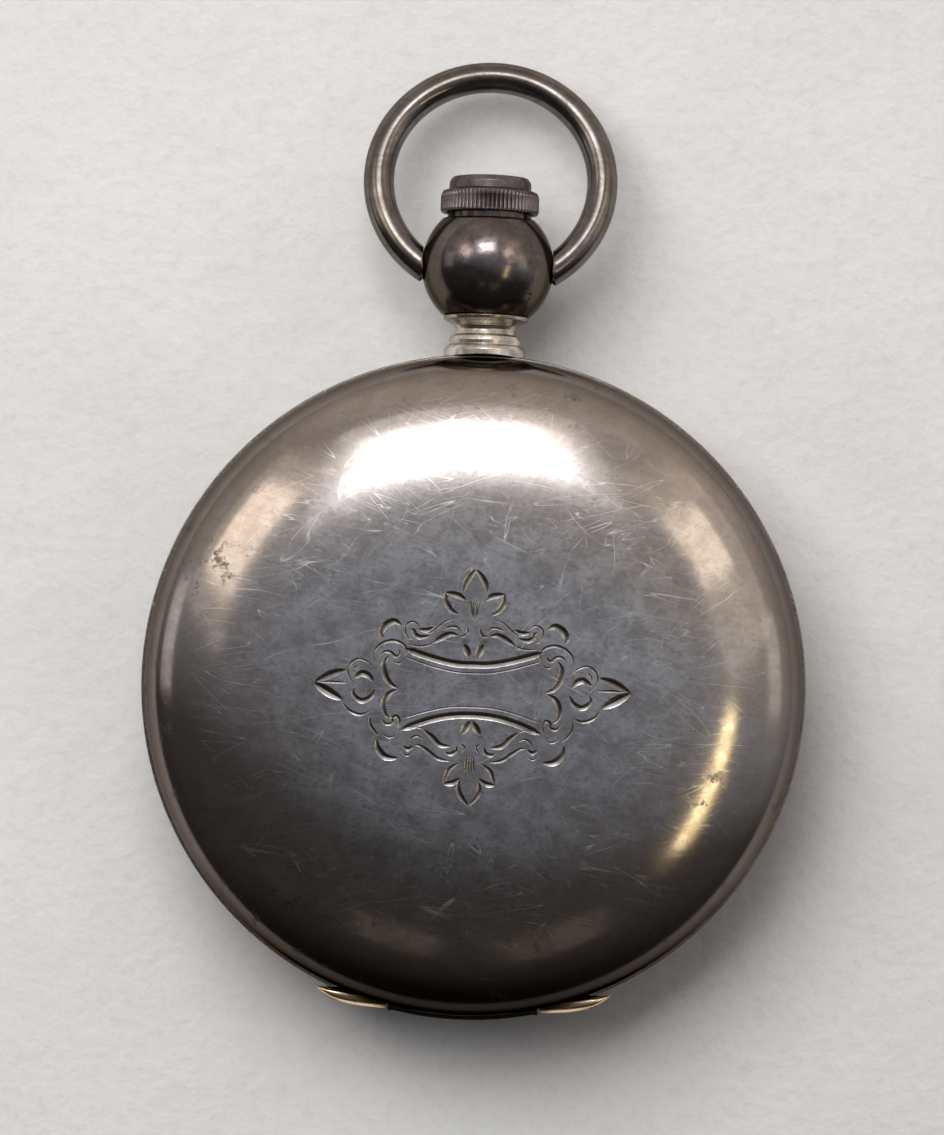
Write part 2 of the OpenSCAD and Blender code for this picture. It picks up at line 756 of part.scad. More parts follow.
module pallet_stones() {
    color(ruby) slab(mid - 2.65, mid - 2.45) difference() {
        at_stones() square([1.28, 0.34], center = true);
        translate(escape_at) circle(r = escape_r + 0.08);
    }
}

// Cut rim with timing screws, on one straight arm
module balance_wheel() {
    rim_z = [mid - 4.9, mid - 4.4];
    color(gilt) at(balance_at) difference() {
        union() {
            ring(balance_r - 0.35, balance_r - 0.95, rim_z[0], rim_z[1]);
            box(-balance_r + 0.6, balance_r - 0.6, -0.45, 0.45, rim_z[0] + 0.15, rim_z[1] - 0.1);
            disc(0.9, rim_z[0] + 0.15, rim_z[1] - 0.1);
            for (i = [0:6]) for (side = [0, 180])
                rotate(side + 18 + i * 24) translate([balance_r - 0.6, 0, (rim_z[0] + rim_z[1]) / 2])
                    rotate([0, 90, 0]) cylinder(r = 0.22, h = 0.6);
        }
        bore(0.4 + fit, rim_z[0], rim_z[1]);
        for (side = [0, 180]) rotate(side + 6) box(balance_r - 1.1, balance_r, -0.06, 0.06, 0, watch_h);
    }
}

module balance_staff() {
    color(steel) at(balance_at) {
        disc(0.4, mid - 5.2, mid - 2.7);
        disc(0.65, mid - 4.5 + fit, mid - 4.2);
        disc(pivot_r, cock_z[0] + 0.05, plate_z[0] + jewel_h);
        disc(0.25, mid - 2.8, plate_z[0] - 0.05);
        // roller
        disc(1.25, mid - 2.95, mid - 2.75);
        rotate(heading(balance_at, pallet_at)) translate([1.0, 0, 0]) disc(0.12, mid - 2.8, mid - 2.4);
    }
}

hairspring_r = 2.9;
module hairspring() {
    color(blued) at(balance_at) slab(mid - 5.2, mid - 5.05) spiral(0.5, hairspring_r, 8, 0.06);
}

module hairspring_stud() {
    color(steel) at(balance_at) translate([hairspring_r + 0.28, 0, 0]) {
        disc(0.22, cock_z[1], mid - 5.0);
        box(-1.3, 0.3, -0.3, 0.3, cock_z[1], cock_z[1] + 0.06);
    }
}

// Winding

module winding_pinion() {
    // its upper gap takes the crown wheel's tooth
    phase = 90 + 180 / winding_pinion_teeth;
    color(steel) along_y() difference() {
        union() {
            slab(winding_pinion_y[0], winding_pinion_y[0] + 1.4)
                polygon(gear_line(winding_pinion_teeth, winding_module, phase));
            disc(1.15, winding_pinion_y[0] + 1.3, winding_pinion_y[1]);
        }
        slab(10, 25) square(stem_square + 2 * run, center = true);
    }
}

crown_wheel_phase = 90;
to_intermediate = heading(crown_wheel_at, intermediate_at);
intermediate_phase = mesh_phase(to_intermediate, crown_wheel_phase, crown_wheel_teeth, intermediate_teeth);
to_ratchet = heading(intermediate_at, barrel_at);
ratchet_phase = mesh_phase(to_ratchet, intermediate_phase, intermediate_teeth, ratchet_teeth);

module winding_wheel(n, phase, hole_r) {
    slab(winding_z[0], winding_z[1]) difference() {
        polygon(gear_line(n, winding_module, phase));
        circle(r = hole_r);
    }
}

module crown_wheel() {
    color(steel) at(crown_wheel_at) winding_wheel(crown_wheel_teeth, crown_wheel_phase, 0.6 + run);
}

module intermediate_wheel() {
    color(steel) at(intermediate_at) winding_wheel(intermediate_teeth, intermediate_phase, 0.6 + run);
}

module ratchet_wheel() {
    color(steel) at(barrel_at) slab(winding_z[0], winding_z[1]) difference() {
        polygon(gear_line(ratchet_teeth, winding_module, ratchet_phase));
        square(1.4 + 2 * fit, center = true);
    }
}

// Shouldered screws that the crown and intermediate wheels turn on
module winding_screws() {
    color(blued) for (p = [crown_wheel_at, intermediate_at]) at(p) {
        disc(1.0, winding_z[1] + 0.03, winding_z[1] + 0.2);
        disc(0.6, plate_z[1], winding_z[1] + 0.1);
        disc(0.4, plate_z[1] - 0.5, plate_z[1] + 0.1);
    }
}

module click() {
    nose = heading(click_at, barrel_at);
    color(steel) at(click_at) {
        slab(winding_z[0], winding_z[1]) {
            circle(r = 0.9);
            rotate(nose + 14) polygon([[0, -0.6], [1.9, -0.35], [2.1, -0.1], [1.9, 0.3], [0, 0.75]]);
        }
        disc(0.35, plate_z[1] - 0.65, winding_z[1]);
    }
}

module click_spring() {
    nose = heading(click_at, barrel_at);
    color(blued) at(click_at) rotate(nose) slab(winding_z[0], winding_z[1] - 0.1) {
        difference() {
            translate([0.4, 3.6]) circle(r = 2.6);
            translate([0.4, 3.6]) circle(r = 2.3);
            translate([0.4, 3.6]) rotate(-60) square([4, 4]);
        }
        translate([0.4, 6.3]) circle(r = 0.6);
    }
}

// Motion work, dial and hands

module cannon_pinion() {
    color(steel) difference() {
        union() {
            slab(cannon_z[0], cannon_z[1]) polygon(gear_line(cannon_teeth, motion_module, heading(centre_at, minute_at)));
            disc(cannon_pipe_r, cannon_z[0], minute_hand_z[1] + 0.05);
        }
        bore(0.5 + fit, cannon_z[0], minute_hand_z[0] - 0.5);
    }
}

module minute_wheel() {
    to_minute = heading(centre_at, minute_at);
    color(gilt) at(minute_at) {
        slab(minute_wheel_z[0], minute_wheel_z[1])
            polygon(gear_line(minute_teeth, motion_module,
                              mesh_phase(to_minute, to_minute, cannon_teeth, minute_teeth)));
        slab(minute_wheel_z[0], hour_wheel_z[1] + 0.02)
            polygon(gear_line(minute_pinion_teeth, motion_module, to_minute + 180));
        disc(0.35, plate_z[1] - 0.6, minute_wheel_z[0] + 0.05);
    }
}

module hour_wheel() {
    to_hour = heading(minute_at, centre_at);
    color(gilt) difference() {
        union() {
            slab(hour_wheel_z[0], hour_wheel_z[1])
                polygon(gear_line(hour_teeth, motion_module,
                                  mesh_phase(to_hour, to_hour, minute_pinion_teeth, hour_teeth)));
            disc(hour_pipe_r, hour_wheel_z[0], hour_hand_z[1]);
        }
        bore(cannon_pipe_r + run, hour_wheel_z[0], hour_hand_z[1]);
    }
}

module dial() {
    color(enamel) {
        difference() {
            disc(dial_r, dial_z[0], dial_z[1]);
            bore(hour_pipe_r + 0.1, dial_z[0], dial_z[1]);
            at(fourth_at) disc(seconds_dial_r, dial_z[1] - 0.25, dial_z[1] + through);
            at(fourth_at) bore(0.4, dial_z[0], dial_z[1]);
        }
        for (a = [60, 300]) at(polar(20, a)) disc(0.4, plate_z[1] - 0.7, dial_z[0] + 0.1);
    }
}

// Spade hand along +X, with an eye at its middle
module hand_line(length, spade, at_spade, eye_r) {
    circle(r = eye_r);
    polygon([[0, -0.32], [length * 0.6, -0.2], [length, -0.04], [length, 0.04], [length * 0.6, 0.2], [0, 0.32]]);
    translate([length * at_spade, 0]) circle(r = spade);
    translate([length * at_spade + spade * 0.55, 0]) polygon([[0, -spade * 0.85], [spade * 1.9, 0], [0, spade * 0.85]]);
}

module hour_hand() {
    color(blued) rotate(clock((time_hour + time_minute / 60) / 12)) slab(hour_hand_z[0], hour_hand_z[1])
        difference() {
            hand_line(12.2, 1.25, 0.72, 1.75);
            circle(r = hour_pipe_r + fit);
        }
}

module minute_hand() {
    color(blued) rotate(clock((time_minute + time_second / 60) / 60)) slab(minute_hand_z[0], minute_hand_z[1])
        difference() {
            hand_line(18.4, 0.85, 0.8, 1.3);
            circle(r = cannon_pipe_r + fit);
        }
}

module seconds_hand() {
    color(blued) at(fourth_at) rotate(clock(time_second / 60)) slab(seconds_hand_z[0], seconds_hand_z[1])
        difference() {
            union() {
                circle(r = 0.55);
                polygon([[-1.4, -0.14], [4.0, -0.04], [4.0, 0.04], [-1.4, 0.14]]);
            }
            circle(r = 0.25 + fit);
        }
}

case_band();
pendant_neck();
pendant_ball();
pendant_sleeve();
bow();
crown();
stem();
front_cover();
front_cover_knuckle();
front_joint_ends();
front_hinge_pin();
rear_cover();
rear_cover_knuckle();
rear_joint_ends();
rear_hinge_pin();
inner_cover();
inner_cover_joint();
inner_cover_pin();
bezel();
crystal();
lift_spring();
lock_spring();
case_screws();
pillar_plate();
top_plate();
pillars();
plate_screws();
balance_cock();
cock_screw();
regulator();
jewels();
mainspring_barrel();
barrel_cap();
barrel_arbor();
mainspring();
centre_wheel();
third_wheel();
fourth_wheel();
escape_wheel();
pallet_fork();
pallet_stones();
balance_wheel();
balance_staff();
hairspring();
hairspring_stud();
winding_pinion();
crown_wheel();
intermediate_wheel();
ratchet_wheel();
winding_screws();
click();
click_spring();
cannon_pinion();
minute_wheel();
hour_wheel();
dial();
hour_hand();
minute_hand();
seconds_hand();
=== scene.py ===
import json
import math

import bmesh
import bpy
import numpy as np
from mathutils import Matrix, Quaternion, Vector
from mathutils.geometry import delaunay_2d_cdt


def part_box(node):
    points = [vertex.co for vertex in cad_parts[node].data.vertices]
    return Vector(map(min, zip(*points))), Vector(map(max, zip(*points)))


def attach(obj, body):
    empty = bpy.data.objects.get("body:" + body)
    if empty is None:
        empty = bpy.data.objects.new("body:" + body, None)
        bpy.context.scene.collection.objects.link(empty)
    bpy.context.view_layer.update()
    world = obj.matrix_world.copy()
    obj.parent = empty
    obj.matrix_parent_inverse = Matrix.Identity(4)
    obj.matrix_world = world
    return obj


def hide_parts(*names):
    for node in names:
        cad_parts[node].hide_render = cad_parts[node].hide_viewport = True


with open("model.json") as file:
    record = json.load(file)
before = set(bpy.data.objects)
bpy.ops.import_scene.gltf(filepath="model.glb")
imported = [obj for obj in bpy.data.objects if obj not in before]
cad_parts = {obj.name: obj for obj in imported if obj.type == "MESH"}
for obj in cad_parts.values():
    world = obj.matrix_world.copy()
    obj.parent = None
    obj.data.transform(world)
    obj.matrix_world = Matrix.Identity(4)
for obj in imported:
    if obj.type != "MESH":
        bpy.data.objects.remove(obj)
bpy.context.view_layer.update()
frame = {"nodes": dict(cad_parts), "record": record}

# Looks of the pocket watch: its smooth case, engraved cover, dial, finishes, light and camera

MM = 0.001


def box_mm(node):
    """A CAD node's lowest and highest corner in millimetres."""
    lo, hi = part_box(node)
    return lo / MM, hi / MM


# Driving sizes in millimetres, read from the frame
band_lo, band_hi = box_mm("case_band")
cover_lo, cover_hi = box_mm("front_cover")
rear_hi = box_mm("rear_cover")[1]
ball_lo, ball_hi = box_mm("pendant_ball")
bezel_lo, bezel_hi = box_mm("bezel")
dial_hi = box_mm("dial")[1]
ends_lo = box_mm("front_joint_ends")[0]
seconds_lo, seconds_hi = box_mm("fourth_wheel")

MID = (band_lo.z + band_hi.z) / 2
BAND_R = band_hi.x
COVER_R = cover_hi.x
COVER_Z = cover_lo.z
COVER_H = cover_hi.z - cover_lo.z
REAR_Z = rear_hi.z
BALL_R = (ball_hi.z - ball_lo.z) / 2
DIAL_R = dial_hi.x
SECONDS_AT = Vector(((seconds_lo.x + seconds_hi.x) / 2, (seconds_lo.y + seconds_hi.y) / 2))
BARREL_R = 0.9
HINGE_Y = ends_lo.y + BARREL_R

# Sizes that the boxes don't tell
COVER_WALL = 0.55
RIM_WALL = 0.65
REST_R = 9.0            # radius of the flat that the watch lies on
DOME_POWER = 3.0
INNER_POWER = 6.0
INNER_RIM_Z = MID - 2.8
BAND_CUT_Y = -25.15     # straight cut behind the cover joints
# the painted highlight on the gold joint ends is brightest at this radius
HIGHLIGHT_RIDGE_R = 27.92         # ridge of the gold joint ends
JOINT_STEP = 1.3        # each cover's joint above or below the middle
PENDANT_BORE = 1.5
BALL_FOOT_Y, BALL_Y, BALL_TOP_Y = 30.9, 35.0, 38.9
GLASS_SEAT_Z = MID + 3.4
DIAL_UNDER_Z = MID + 1.8
SECONDS_SUNK = 0.25
PAINT_DEPTH, PAINT_LIFT = 0.03, 0.02


# ---------------------------------------------------------------- mesh tools

def make(name, verts, faces, body, material, replaces, slot, sharp=32.0):
    """A smooth-shaded piece from millimetre points, riding on a body in place of CAD nodes."""
    mesh = bpy.data.meshes.new(name)
    mesh.from_pydata([tuple(c * MM for c in v) for v in verts], [], faces)
    mesh.validate()
    outward = bmesh.new()
    outward.from_mesh(mesh)
    bmesh.ops.recalc_face_normals(outward, faces=outward.faces)
    outward.to_mesh(mesh)
    outward.free()
    mesh.shade_smooth()
    mesh.set_sharp_from_angle(angle=math.radians(sharp))
    mesh.materials.append(material)
    piece = bpy.data.objects.new(name, mesh)
    bpy.context.scene.collection.objects.link(piece)
    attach(piece, body)
    if replaces:
        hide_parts(*replaces)
    return piece


def rounded(points, steps=4):
    """Outline through (x, y, radius) corners, each rounded off by a curve of about that radius."""
    out = []
    n = len(points)
    for i, (x, y, radius) in enumerate(points):
        p = Vector((x, y))
        before, after = Vector(points[i - 1][:2]), Vector(points[(i + 1) % n][:2])
        if radius <= 0:
            out.append((x, y))
            continue
        a, b = (before - p).normalized(), (after - p).normalized()
        half = a.angle(b) / 2
        cut = min(radius / math.tan(half), (before - p).length * 0.48, (after - p).length * 0.48)
        start, end = p + a * cut, p + b * cut
        for k in range(steps + 1):
            t = k / steps
            q = start.lerp(p, t).lerp(p.lerp(end, t), t)
            out.append((q.x, q.y))
    return out


def lathe(profile, segments=192, closed=True):
    """Points and faces of a section turned about Z. Points with no radius become poles."""
    verts, rows = [], []
    for r, z in profile:
        if r < 1e-6:
            rows.append([len(verts)] * segments)
            verts.append((0.0, 0.0, z))
        else:
            rows.append(list(range(len(verts), len(verts) + segments)))
            for k in range(segments):
                a = 2 * math.pi * k / segments
                verts.append((r * math.cos(a), r * math.sin(a), z))
    faces = []
    count = len(rows) if closed else len(rows) - 1
    for i in range(count):
        low, high = rows[i], rows[(i + 1) % len(rows)]
        for k in range(segments):
            m = (k + 1) % segments
            # a pole's point comes up only once in a face
            quad = list(dict.fromkeys((low[k], low[m], high[m], high[k])))
            if len(quad) > 2:
                faces.append(quad)
    return verts, faces


def circle(r, count, centre=(0.0, 0.0)):
    """Evenly spaced points round a centre."""
    angles = [2 * math.pi * k / count for k in range(count)]
    return [Vector((centre[0] + r * math.cos(a), centre[1] + r * math.sin(a))) for a in angles]


def moved(part, centre):
    """Points and faces shifted sideways."""
    verts, faces = part
    return [(x + centre[0], y + centre[1], z) for x, y, z in verts], faces


def about_y(verts):
    """Turns a piece made about Z so that it stands along the pendant."""
    return [(x, z, MID - y) for x, y, z in verts]


def about_x(verts, y0, z0):
    """Turns a piece made about Z so that it lies along a cover joint."""
    return [(z, y0 + x, z0 + y) for x, y, z in verts]


def join(*parts):
    """One list of points and faces from several."""
    verts, faces = [], []
    for part_verts, part_faces in parts:
        start = len(verts)
        verts += part_verts
        faces += [[start + v for v in f] for f in part_faces]
    return verts, faces


def prism(outline, z0, z1):
    """A flat outline raised from z0 to z1."""
    n = len(outline)
    verts = [(x, y, z) for z in (z0, z1) for x, y in outline]
    faces = [list(range(n))[::-1], list(range(n, 2 * n))]
    for k in range(n):
        m = (k + 1) % n
        faces.append([k, m, n + m, n + k])
    return verts, faces


def dome(r, rim_r, h, power=DOME_POWER):
    """Height of a cover above its rim."""
    return h * math.sqrt(max(0.0, 1 - (r / rim_r) ** power))


def dome_line(rim_r, h, power=DOME_POWER, start=0.0, steps=48):
    """Section of a cover from its middle to its rim."""
    line = []
    for i in range(steps + 1):
        r = start + (rim_r - start) * math.sin(math.pi / 2 * i / steps)
        line.append((r, dome(r, rim_r, h, power)))
    return line


# ---------------------------------------------------------------- materials

class Nodes:
    """Short calls for the node tree of a new material or world. Textures take object space in metres."""

    def __init__(self, name, world=False):
        self.owner = (bpy.data.worlds if world else bpy.data.materials).new(name)
        self.owner.use_nodes = True
        self.tree = self.owner.node_tree
        self.place = self.tree.nodes.new("ShaderNodeTexCoord").outputs["Generated" if world else "Object"]

    def add(self, kind, inputs=(), **settings):
        node = self.tree.nodes.new(kind)
        for key, value in settings.items():
            setattr(node, key, value)
        for key, value in dict(inputs).items():
            self.feed(node.inputs[key], value)
        return node

    def feed(self, socket, value):
        if isinstance(value, bpy.types.NodeSocket):
            self.tree.links.new(value, socket)
        else:
            socket.default_value = value

    def mapped(self, cell, turn=0.0):
        """Object space turned about Z and then measured in cells of the given size in metres."""
        inputs = {"Vector": self.place, "Rotation": (0, 0, math.radians(turn)), "Scale": cell}
        return self.add("ShaderNodeMapping", inputs, vector_type="TEXTURE").outputs[0]

    def noise(self, scale, detail=3.0, rough=0.55, place=None, distortion=0.0):
        inputs = {"Vector": place or self.place, "Scale": scale, "Detail": detail, "Roughness": rough,
                  "Distortion": distortion}
        return self.add("ShaderNodeTexNoise", inputs).outputs["Fac"]

    def axis(self, name):
        return self.add("ShaderNodeSeparateXYZ", {"Vector": self.place}).outputs[name]

    def radius(self, centre_y=0.0):
        """Distance in metres from the upright line through (0, centre_y)."""
        across = self.calc("POWER", self.axis("X"), 2.0)
        along = self.calc("POWER", self.calc("SUBTRACT", self.axis("Y"), centre_y), 2.0)
        return self.calc("SQRT", self.plus(across, along))

    def span(self, value, low, high, to_low=0.0, to_high=1.0):
        """Value from low to high brought to another range, and held inside it."""
        inputs = {"Value": value, "From Min": low, "From Max": high, "To Min": to_low, "To Max": to_high}
        return self.add("ShaderNodeMapRange", inputs).outputs["Result"]

    def calc(self, operation, a, b=0.0):
        return self.add("ShaderNodeMath", {0: a, 1: b}, operation=operation).outputs[0]

    def times(self, a, b):
        return self.calc("MULTIPLY", a, b)

    def plus(self, a, b):
        return self.calc("ADD", a, b)

    def mix(self, factor, a, b):
        node = self.add("ShaderNodeMix", data_type="RGBA")
        self.feed(node.inputs["Factor"], factor)
        for socket, value in ((node.inputs["A"], a), (node.inputs["B"], b)):
            self.feed(socket, (*value, 1) if isinstance(value, tuple) else value)
        return [o for o in node.outputs if o.type == "RGBA"][0]

    def bump(self, height, distance, strength=1.0, normal=None):
        inputs = {"Height": height, "Distance": distance, "Strength": strength}
        if normal:
            inputs["Normal"] = normal
        return self.add("ShaderNodeBump", inputs).outputs[0]

    def finish(self, shader="Principled BSDF", **sockets):
        inputs = self.tree.nodes[shader].inputs
        for key, value in sockets.items():
            self.feed(inputs[key.replace("_", " ")], (*value, 1) if isinstance(value, tuple) else value)
        return self.owner

    def scratches(self, sets=7, spacing=0.0008, length=0.016, thin=0.0065):
        """Hairlines mostly across the watch, 0 to 1: contours of stretched noise, broken up by patches."""
        total = None
        for k, turn in enumerate((-24, 9, -9, 24, -43, 46, 82)[:sets]):
            sweep = self.noise(1.0, 1.0, 0.4, self.mapped((length, spacing * (1 + 0.35 * k), length), turn))
            near = self.calc("ABSOLUTE", self.calc("SUBTRACT", sweep, 0.44 + 0.03 * k))
            patches = self.span(self.noise(150 + 40 * k, 3.0, 0.6), 0.46, 0.66)
            lines = self.times(self.span(near, 0.0, thin, 1.0, 0.0), patches)
            total = lines if total is None else self.calc("MAXIMUM", total, lines)
        return total


def shade(colour, factor):
    """A colour made darker or lighter."""
    return tuple(min(1.0, c * factor) for c in colour)


def silver(name, rubbed, dull, rim, shine=0.15, specks=0.5, scratch=1.0, centre_y=0.0, reach=0.0272,
           start=0.62, metal=1.0, engraved=False):
    """Old silver: grey where it is rubbed, plum and brown where it has tarnished, browner towards its rim.

    The rim is a circle about (0, centre_y) with the radius reach, both in metres.
    """
    n = Nodes(name)
    cloud = n.noise(60, 5.0, 0.62, distortion=0.8)
    grain = n.noise(480, 4.0, 0.62)
    colour = n.mix(n.span(cloud, 0.4, 0.64), rubbed, dull)
    # faint wear in short strokes and small spots
    strokes = n.noise(1.0, 5.0, 0.65, n.mapped((0.0019, 0.0005, 0.0019), -9))
    spots = n.noise(2400, 3.0, 0.65)
    wear = n.plus(n.span(strokes, 0.32, 0.68, 0.0, 0.5), n.span(spots, 0.34, 0.66, 0.0, 0.5))
    colour = n.mix(n.times(wear, 0.5), shade(rubbed, 1.12), colour)
    colour = n.mix(n.span(wear, 0.5, 0.9, 0.0, 0.55), colour, shade(dull, 0.55))
    colour = n.mix(n.span(grain, 0.4, 0.62, 0.0, 0.55), colour, shade(dull, 0.5))
    # tarnish grows towards the rim, with a ragged edge
    away = n.calc("DIVIDE", n.radius(centre_y), reach)
    ragged = n.times(n.noise(1.6 / reach, 5.0, 0.65), 0.45)
    edge = n.span(n.plus(away, ragged), start, start + 0.6)
    colour = n.mix(n.times(edge, 0.85), colour, rim)
    # the outermost turn of a rim is nearly black: partly tarnish, partly painted shade that darkens its
    # reflection of the floor beside the case
    colour = n.mix(n.span(away, 0.93, 0.99, 0.0, 0.75), colour, shade(rim, 0.15))
    # painted shade: towards the hinge side the rim is made nearly black, with a dark edge tint, to darken its
    # reflection of the shaded floor there
    hinge_side_shade = n.times(n.span(away, 0.84, 0.93), n.span(n.axis("Y"), -0.026, -0.014, 0.9, 0.0))
    colour = n.mix(hinge_side_shade, colour, shade(rim, 0.06))
    edge_tint = n.mix(hinge_side_shade, (0.62, 0.58, 0.53), (0.16, 0.15, 0.14))
    # pits of black tarnish, mostly near the rim
    pits = n.times(n.span(n.noise(620, 4.0, 0.7), 0.57, 0.66), n.span(n.noise(95, 3.0), 0.47, 0.6))
    pits = n.times(pits, n.span(away, 0.55, 0.95, specks * 0.25, specks))
    colour = n.mix(pits, colour, shade(rim, 0.12))
    # bright hairlines, none on the rim
    lines = n.times(n.scratches(), n.span(away, 0.8, 0.93, scratch, 0.0))
    colour = n.mix(n.times(lines, 0.68), colour, shade(rubbed, 1.6))
    rough = n.plus(n.span(grain, 0.3, 0.7, shine - 0.02, shine + 0.04), n.span(cloud, 0.35, 0.7, 0.0, 0.04))
    rough = n.plus(rough, n.times(n.plus(pits, n.times(lines, 0.5)), 0.3))
    if engraved:
        groove = n.add("ShaderNodeAttribute", attribute_name="groove").outputs["Fac"]
        cut = n.span(groove, 0.0, 0.25)
        colour = n.mix(n.times(cut, 0.6), colour, shade(rim, 0.3))
        colour = n.mix(n.times(groove, 0.85), colour, shade(rim, 0.08))
        rough = n.plus(rough, n.times(cut, 0.16))
    dents = n.bump(n.noise(90, 2.0), 0.00001, 0.3)
    fine = n.bump(grain, 0.0000012, 0.5, dents)
    relief = n.plus(n.times(lines, 0.08), pits)
    normal = n.bump(n.calc("SUBTRACT", 1.0, relief), 0.000006, 0.4, fine)
    return n.finish(Base_Color=colour, Metallic=metal, Roughness=rough, Normal=normal,
                    Specular_Tint=edge_tint)


def ground_metal(name, light, dark, shine, lines=0.00006, length=0.004):
    """Machined metal with fine parallel grinding lines."""
    n = Nodes(name)
    grind = n.noise(1.0, 3.0, 0.6, n.mapped((length, lines, length), 12))
    cloud = n.noise(90, 4.0, 0.6)
    colour = n.mix(n.span(cloud, 0.35, 0.68), light, dark)
    colour = n.mix(n.span(grind, 0.5, 0.8, 0.0, 0.3), colour, dark)
    rough = n.plus(n.span(grind, 0.3, 0.7, shine, shine + 0.12), n.span(cloud, 0.4, 0.7, 0.0, 0.08))
    return n.finish(Base_Color=colour, Metallic=1.0, Roughness=rough, Normal=n.bump(grind, 0.000003, 0.5))


def joint_gold():
    """Gold of the joint ends, with a painted highlight along the ridge and painted shade, dark brown, towards
    case and outer edge.
    """
    n = Nodes("joint_gold")
    from_ridge = n.calc("ABSOLUTE", n.calc("SUBTRACT", n.radius(), HIGHLIGHT_RIDGE_R * MM))
    wear = n.noise(900, 4.0, 0.6)
    # painted highlight and shade: bright gold along the ridge, dark brown away from it, and the edge tint
    # follows
    painted_shade_off_ridge = n.span(n.plus(from_ridge, n.times(wear, 0.0002)), 0.0003, 0.0006)
    colour = n.mix(painted_shade_off_ridge, (1.0, 0.8, 0.54), (0.12, 0.072, 0.035))
    colour = n.mix(n.span(n.noise(3000, 3.0), 0.5, 0.75, 0.0, 0.35), colour, (0.3, 0.2, 0.1))
    return n.finish(Base_Color=colour, Metallic=1.0, Roughness=n.span(wear, 0.3, 0.7, 0.17, 0.26),
                    Normal=n.bump(wear, 0.000004, 0.4),
                    Specular_Tint=n.mix(painted_shade_off_ridge, (1.0, 0.9, 0.7), (0.12, 0.08, 0.05)))


def enamel():
    """Fired white enamel with a faint unevenness."""
    n = Nodes("enamel")
    cloud = n.noise(60, 4.0, 0.6)
    specks = n.span(n.noise(1500, 2.0), 0.72, 0.78)
    colour = n.mix(n.span(cloud, 0.35, 0.7), (0.87, 0.86, 0.81), (0.8, 0.785, 0.73))
    colour = n.mix(n.times(specks, 0.3), colour, (0.45, 0.4, 0.33))
    normal = n.bump(n.noise(220, 2.0), 0.00001, 0.4)
    return n.finish(Base_Color=colour, Roughness=n.span(cloud, 0.3, 0.7, 0.1, 0.2), Normal=normal)


def dial_paint():
    """Black figures fired on the enamel."""
    n = Nodes("dial_paint")
    wear = n.noise(1200, 3.0)
    colour = n.mix(n.span(wear, 0.4, 0.75), (0.012, 0.011, 0.012), (0.05, 0.045, 0.045))
    return n.finish(Base_Color=colour, Roughness=n.span(wear, 0.3, 0.7, 0.25, 0.45))


def glass():
    """Clear watch glass with a few fine marks."""
    n = Nodes("watch_glass")
    marks = n.scratches(sets=3, spacing=0.004)
    return n.finish(Base_Color=(0.97, 0.985, 0.98), Roughness=n.span(marks, 0.0, 1.0, 0.01, 0.25), IOR=1.5,
                    Normal=n.bump(marks, 0.000004, 0.3), Transmission_Weight=1.0)


def ruby():
    """Polished red stone."""
    n = Nodes("ruby")
    cloud = n.noise(1600, 3.0)
    colour = n.mix(n.span(cloud, 0.35, 0.7), (0.5, 0.015, 0.07), (0.3, 0.005, 0.03))
    return n.finish(Base_Color=colour, Roughness=n.span(cloud, 0.3, 0.7, 0.05, 0.12))


SILVER_COVER = silver("silver_cover", (0.47, 0.473, 0.495), (0.39, 0.36, 0.37), (0.36, 0.3, 0.26),
                      shine=0.11, specks=0.8, engraved=True)
SILVER_REAR = silver("silver_rear", (0.44, 0.44, 0.46), (0.38, 0.37, 0.38), (0.32, 0.27, 0.235), shine=0.11)
SILVER_BAND = silver("silver_band", (0.3, 0.29, 0.28), (0.22, 0.205, 0.195), (0.17, 0.14, 0.12),
                     shine=0.2, reach=0.036)
SILVER_INSIDE = silver("silver_inside", (0.8, 0.8, 0.79), (0.68, 0.67, 0.65), (0.52, 0.46, 0.38),
                       shine=0.1, specks=0.15, scratch=0.4, reach=0.036)
SILVER_BOW = silver("silver_bow", (0.2, 0.18, 0.182), (0.135, 0.118, 0.12), (0.15, 0.14, 0.095),
                    shine=0.16, specks=0.9, scratch=0.25, centre_y=0.0425, reach=0.016)
# the ball's dark olive rim is partly tarnish and partly painted shade that darkens its reflection of the
# shaded floor round its edge
SILVER_BALL = silver("silver_ball", (0.27, 0.232, 0.24), (0.17, 0.143, 0.15), (0.075, 0.068, 0.045),
                     shine=0.14, specks=1.0, scratch=0.25, centre_y=BALL_Y * MM, reach=0.0052, start=0.55)
SILVER_NECK = silver("silver_neck", (0.86, 0.81, 0.73), (0.5, 0.455, 0.39), (0.22, 0.18, 0.13),
                     shine=0.21, specks=0.8, scratch=0.3, centre_y=0.0272, reach=0.0054)
CROWN_METAL = silver("crown_metal", (0.16, 0.141, 0.144), (0.105, 0.091, 0.092), (0.09, 0.073, 0.062),
                     shine=0.27, specks=0.7, scratch=0.5, centre_y=0.041, reach=0.008, metal=0.9)
STEEL = ground_metal("ground_steel", (0.6, 0.6, 0.62), (0.42, 0.42, 0.44), 0.22)
POLISHED = ground_metal("polished_steel", (0.68, 0.68, 0.7), (0.5, 0.5, 0.53), 0.12)
BLUED = ground_metal("blued_steel", (0.03, 0.06, 0.32), (0.02, 0.03, 0.16), 0.14)
GILT_PLATE = ground_metal("gilt_plate", (0.83, 0.62, 0.3), (0.62, 0.44, 0.2), 0.3, 0.0003, 0.0006)
GILT_WHEEL = ground_metal("gilt_wheel", (0.87, 0.67, 0.33), (0.66, 0.47, 0.21), 0.18)
GOLD = joint_gold()
ENAMEL = enamel()
PAINT = dial_paint()
GLASS = glass()
RUBY = ruby()


# ---------------------------------------------------------------- engraving

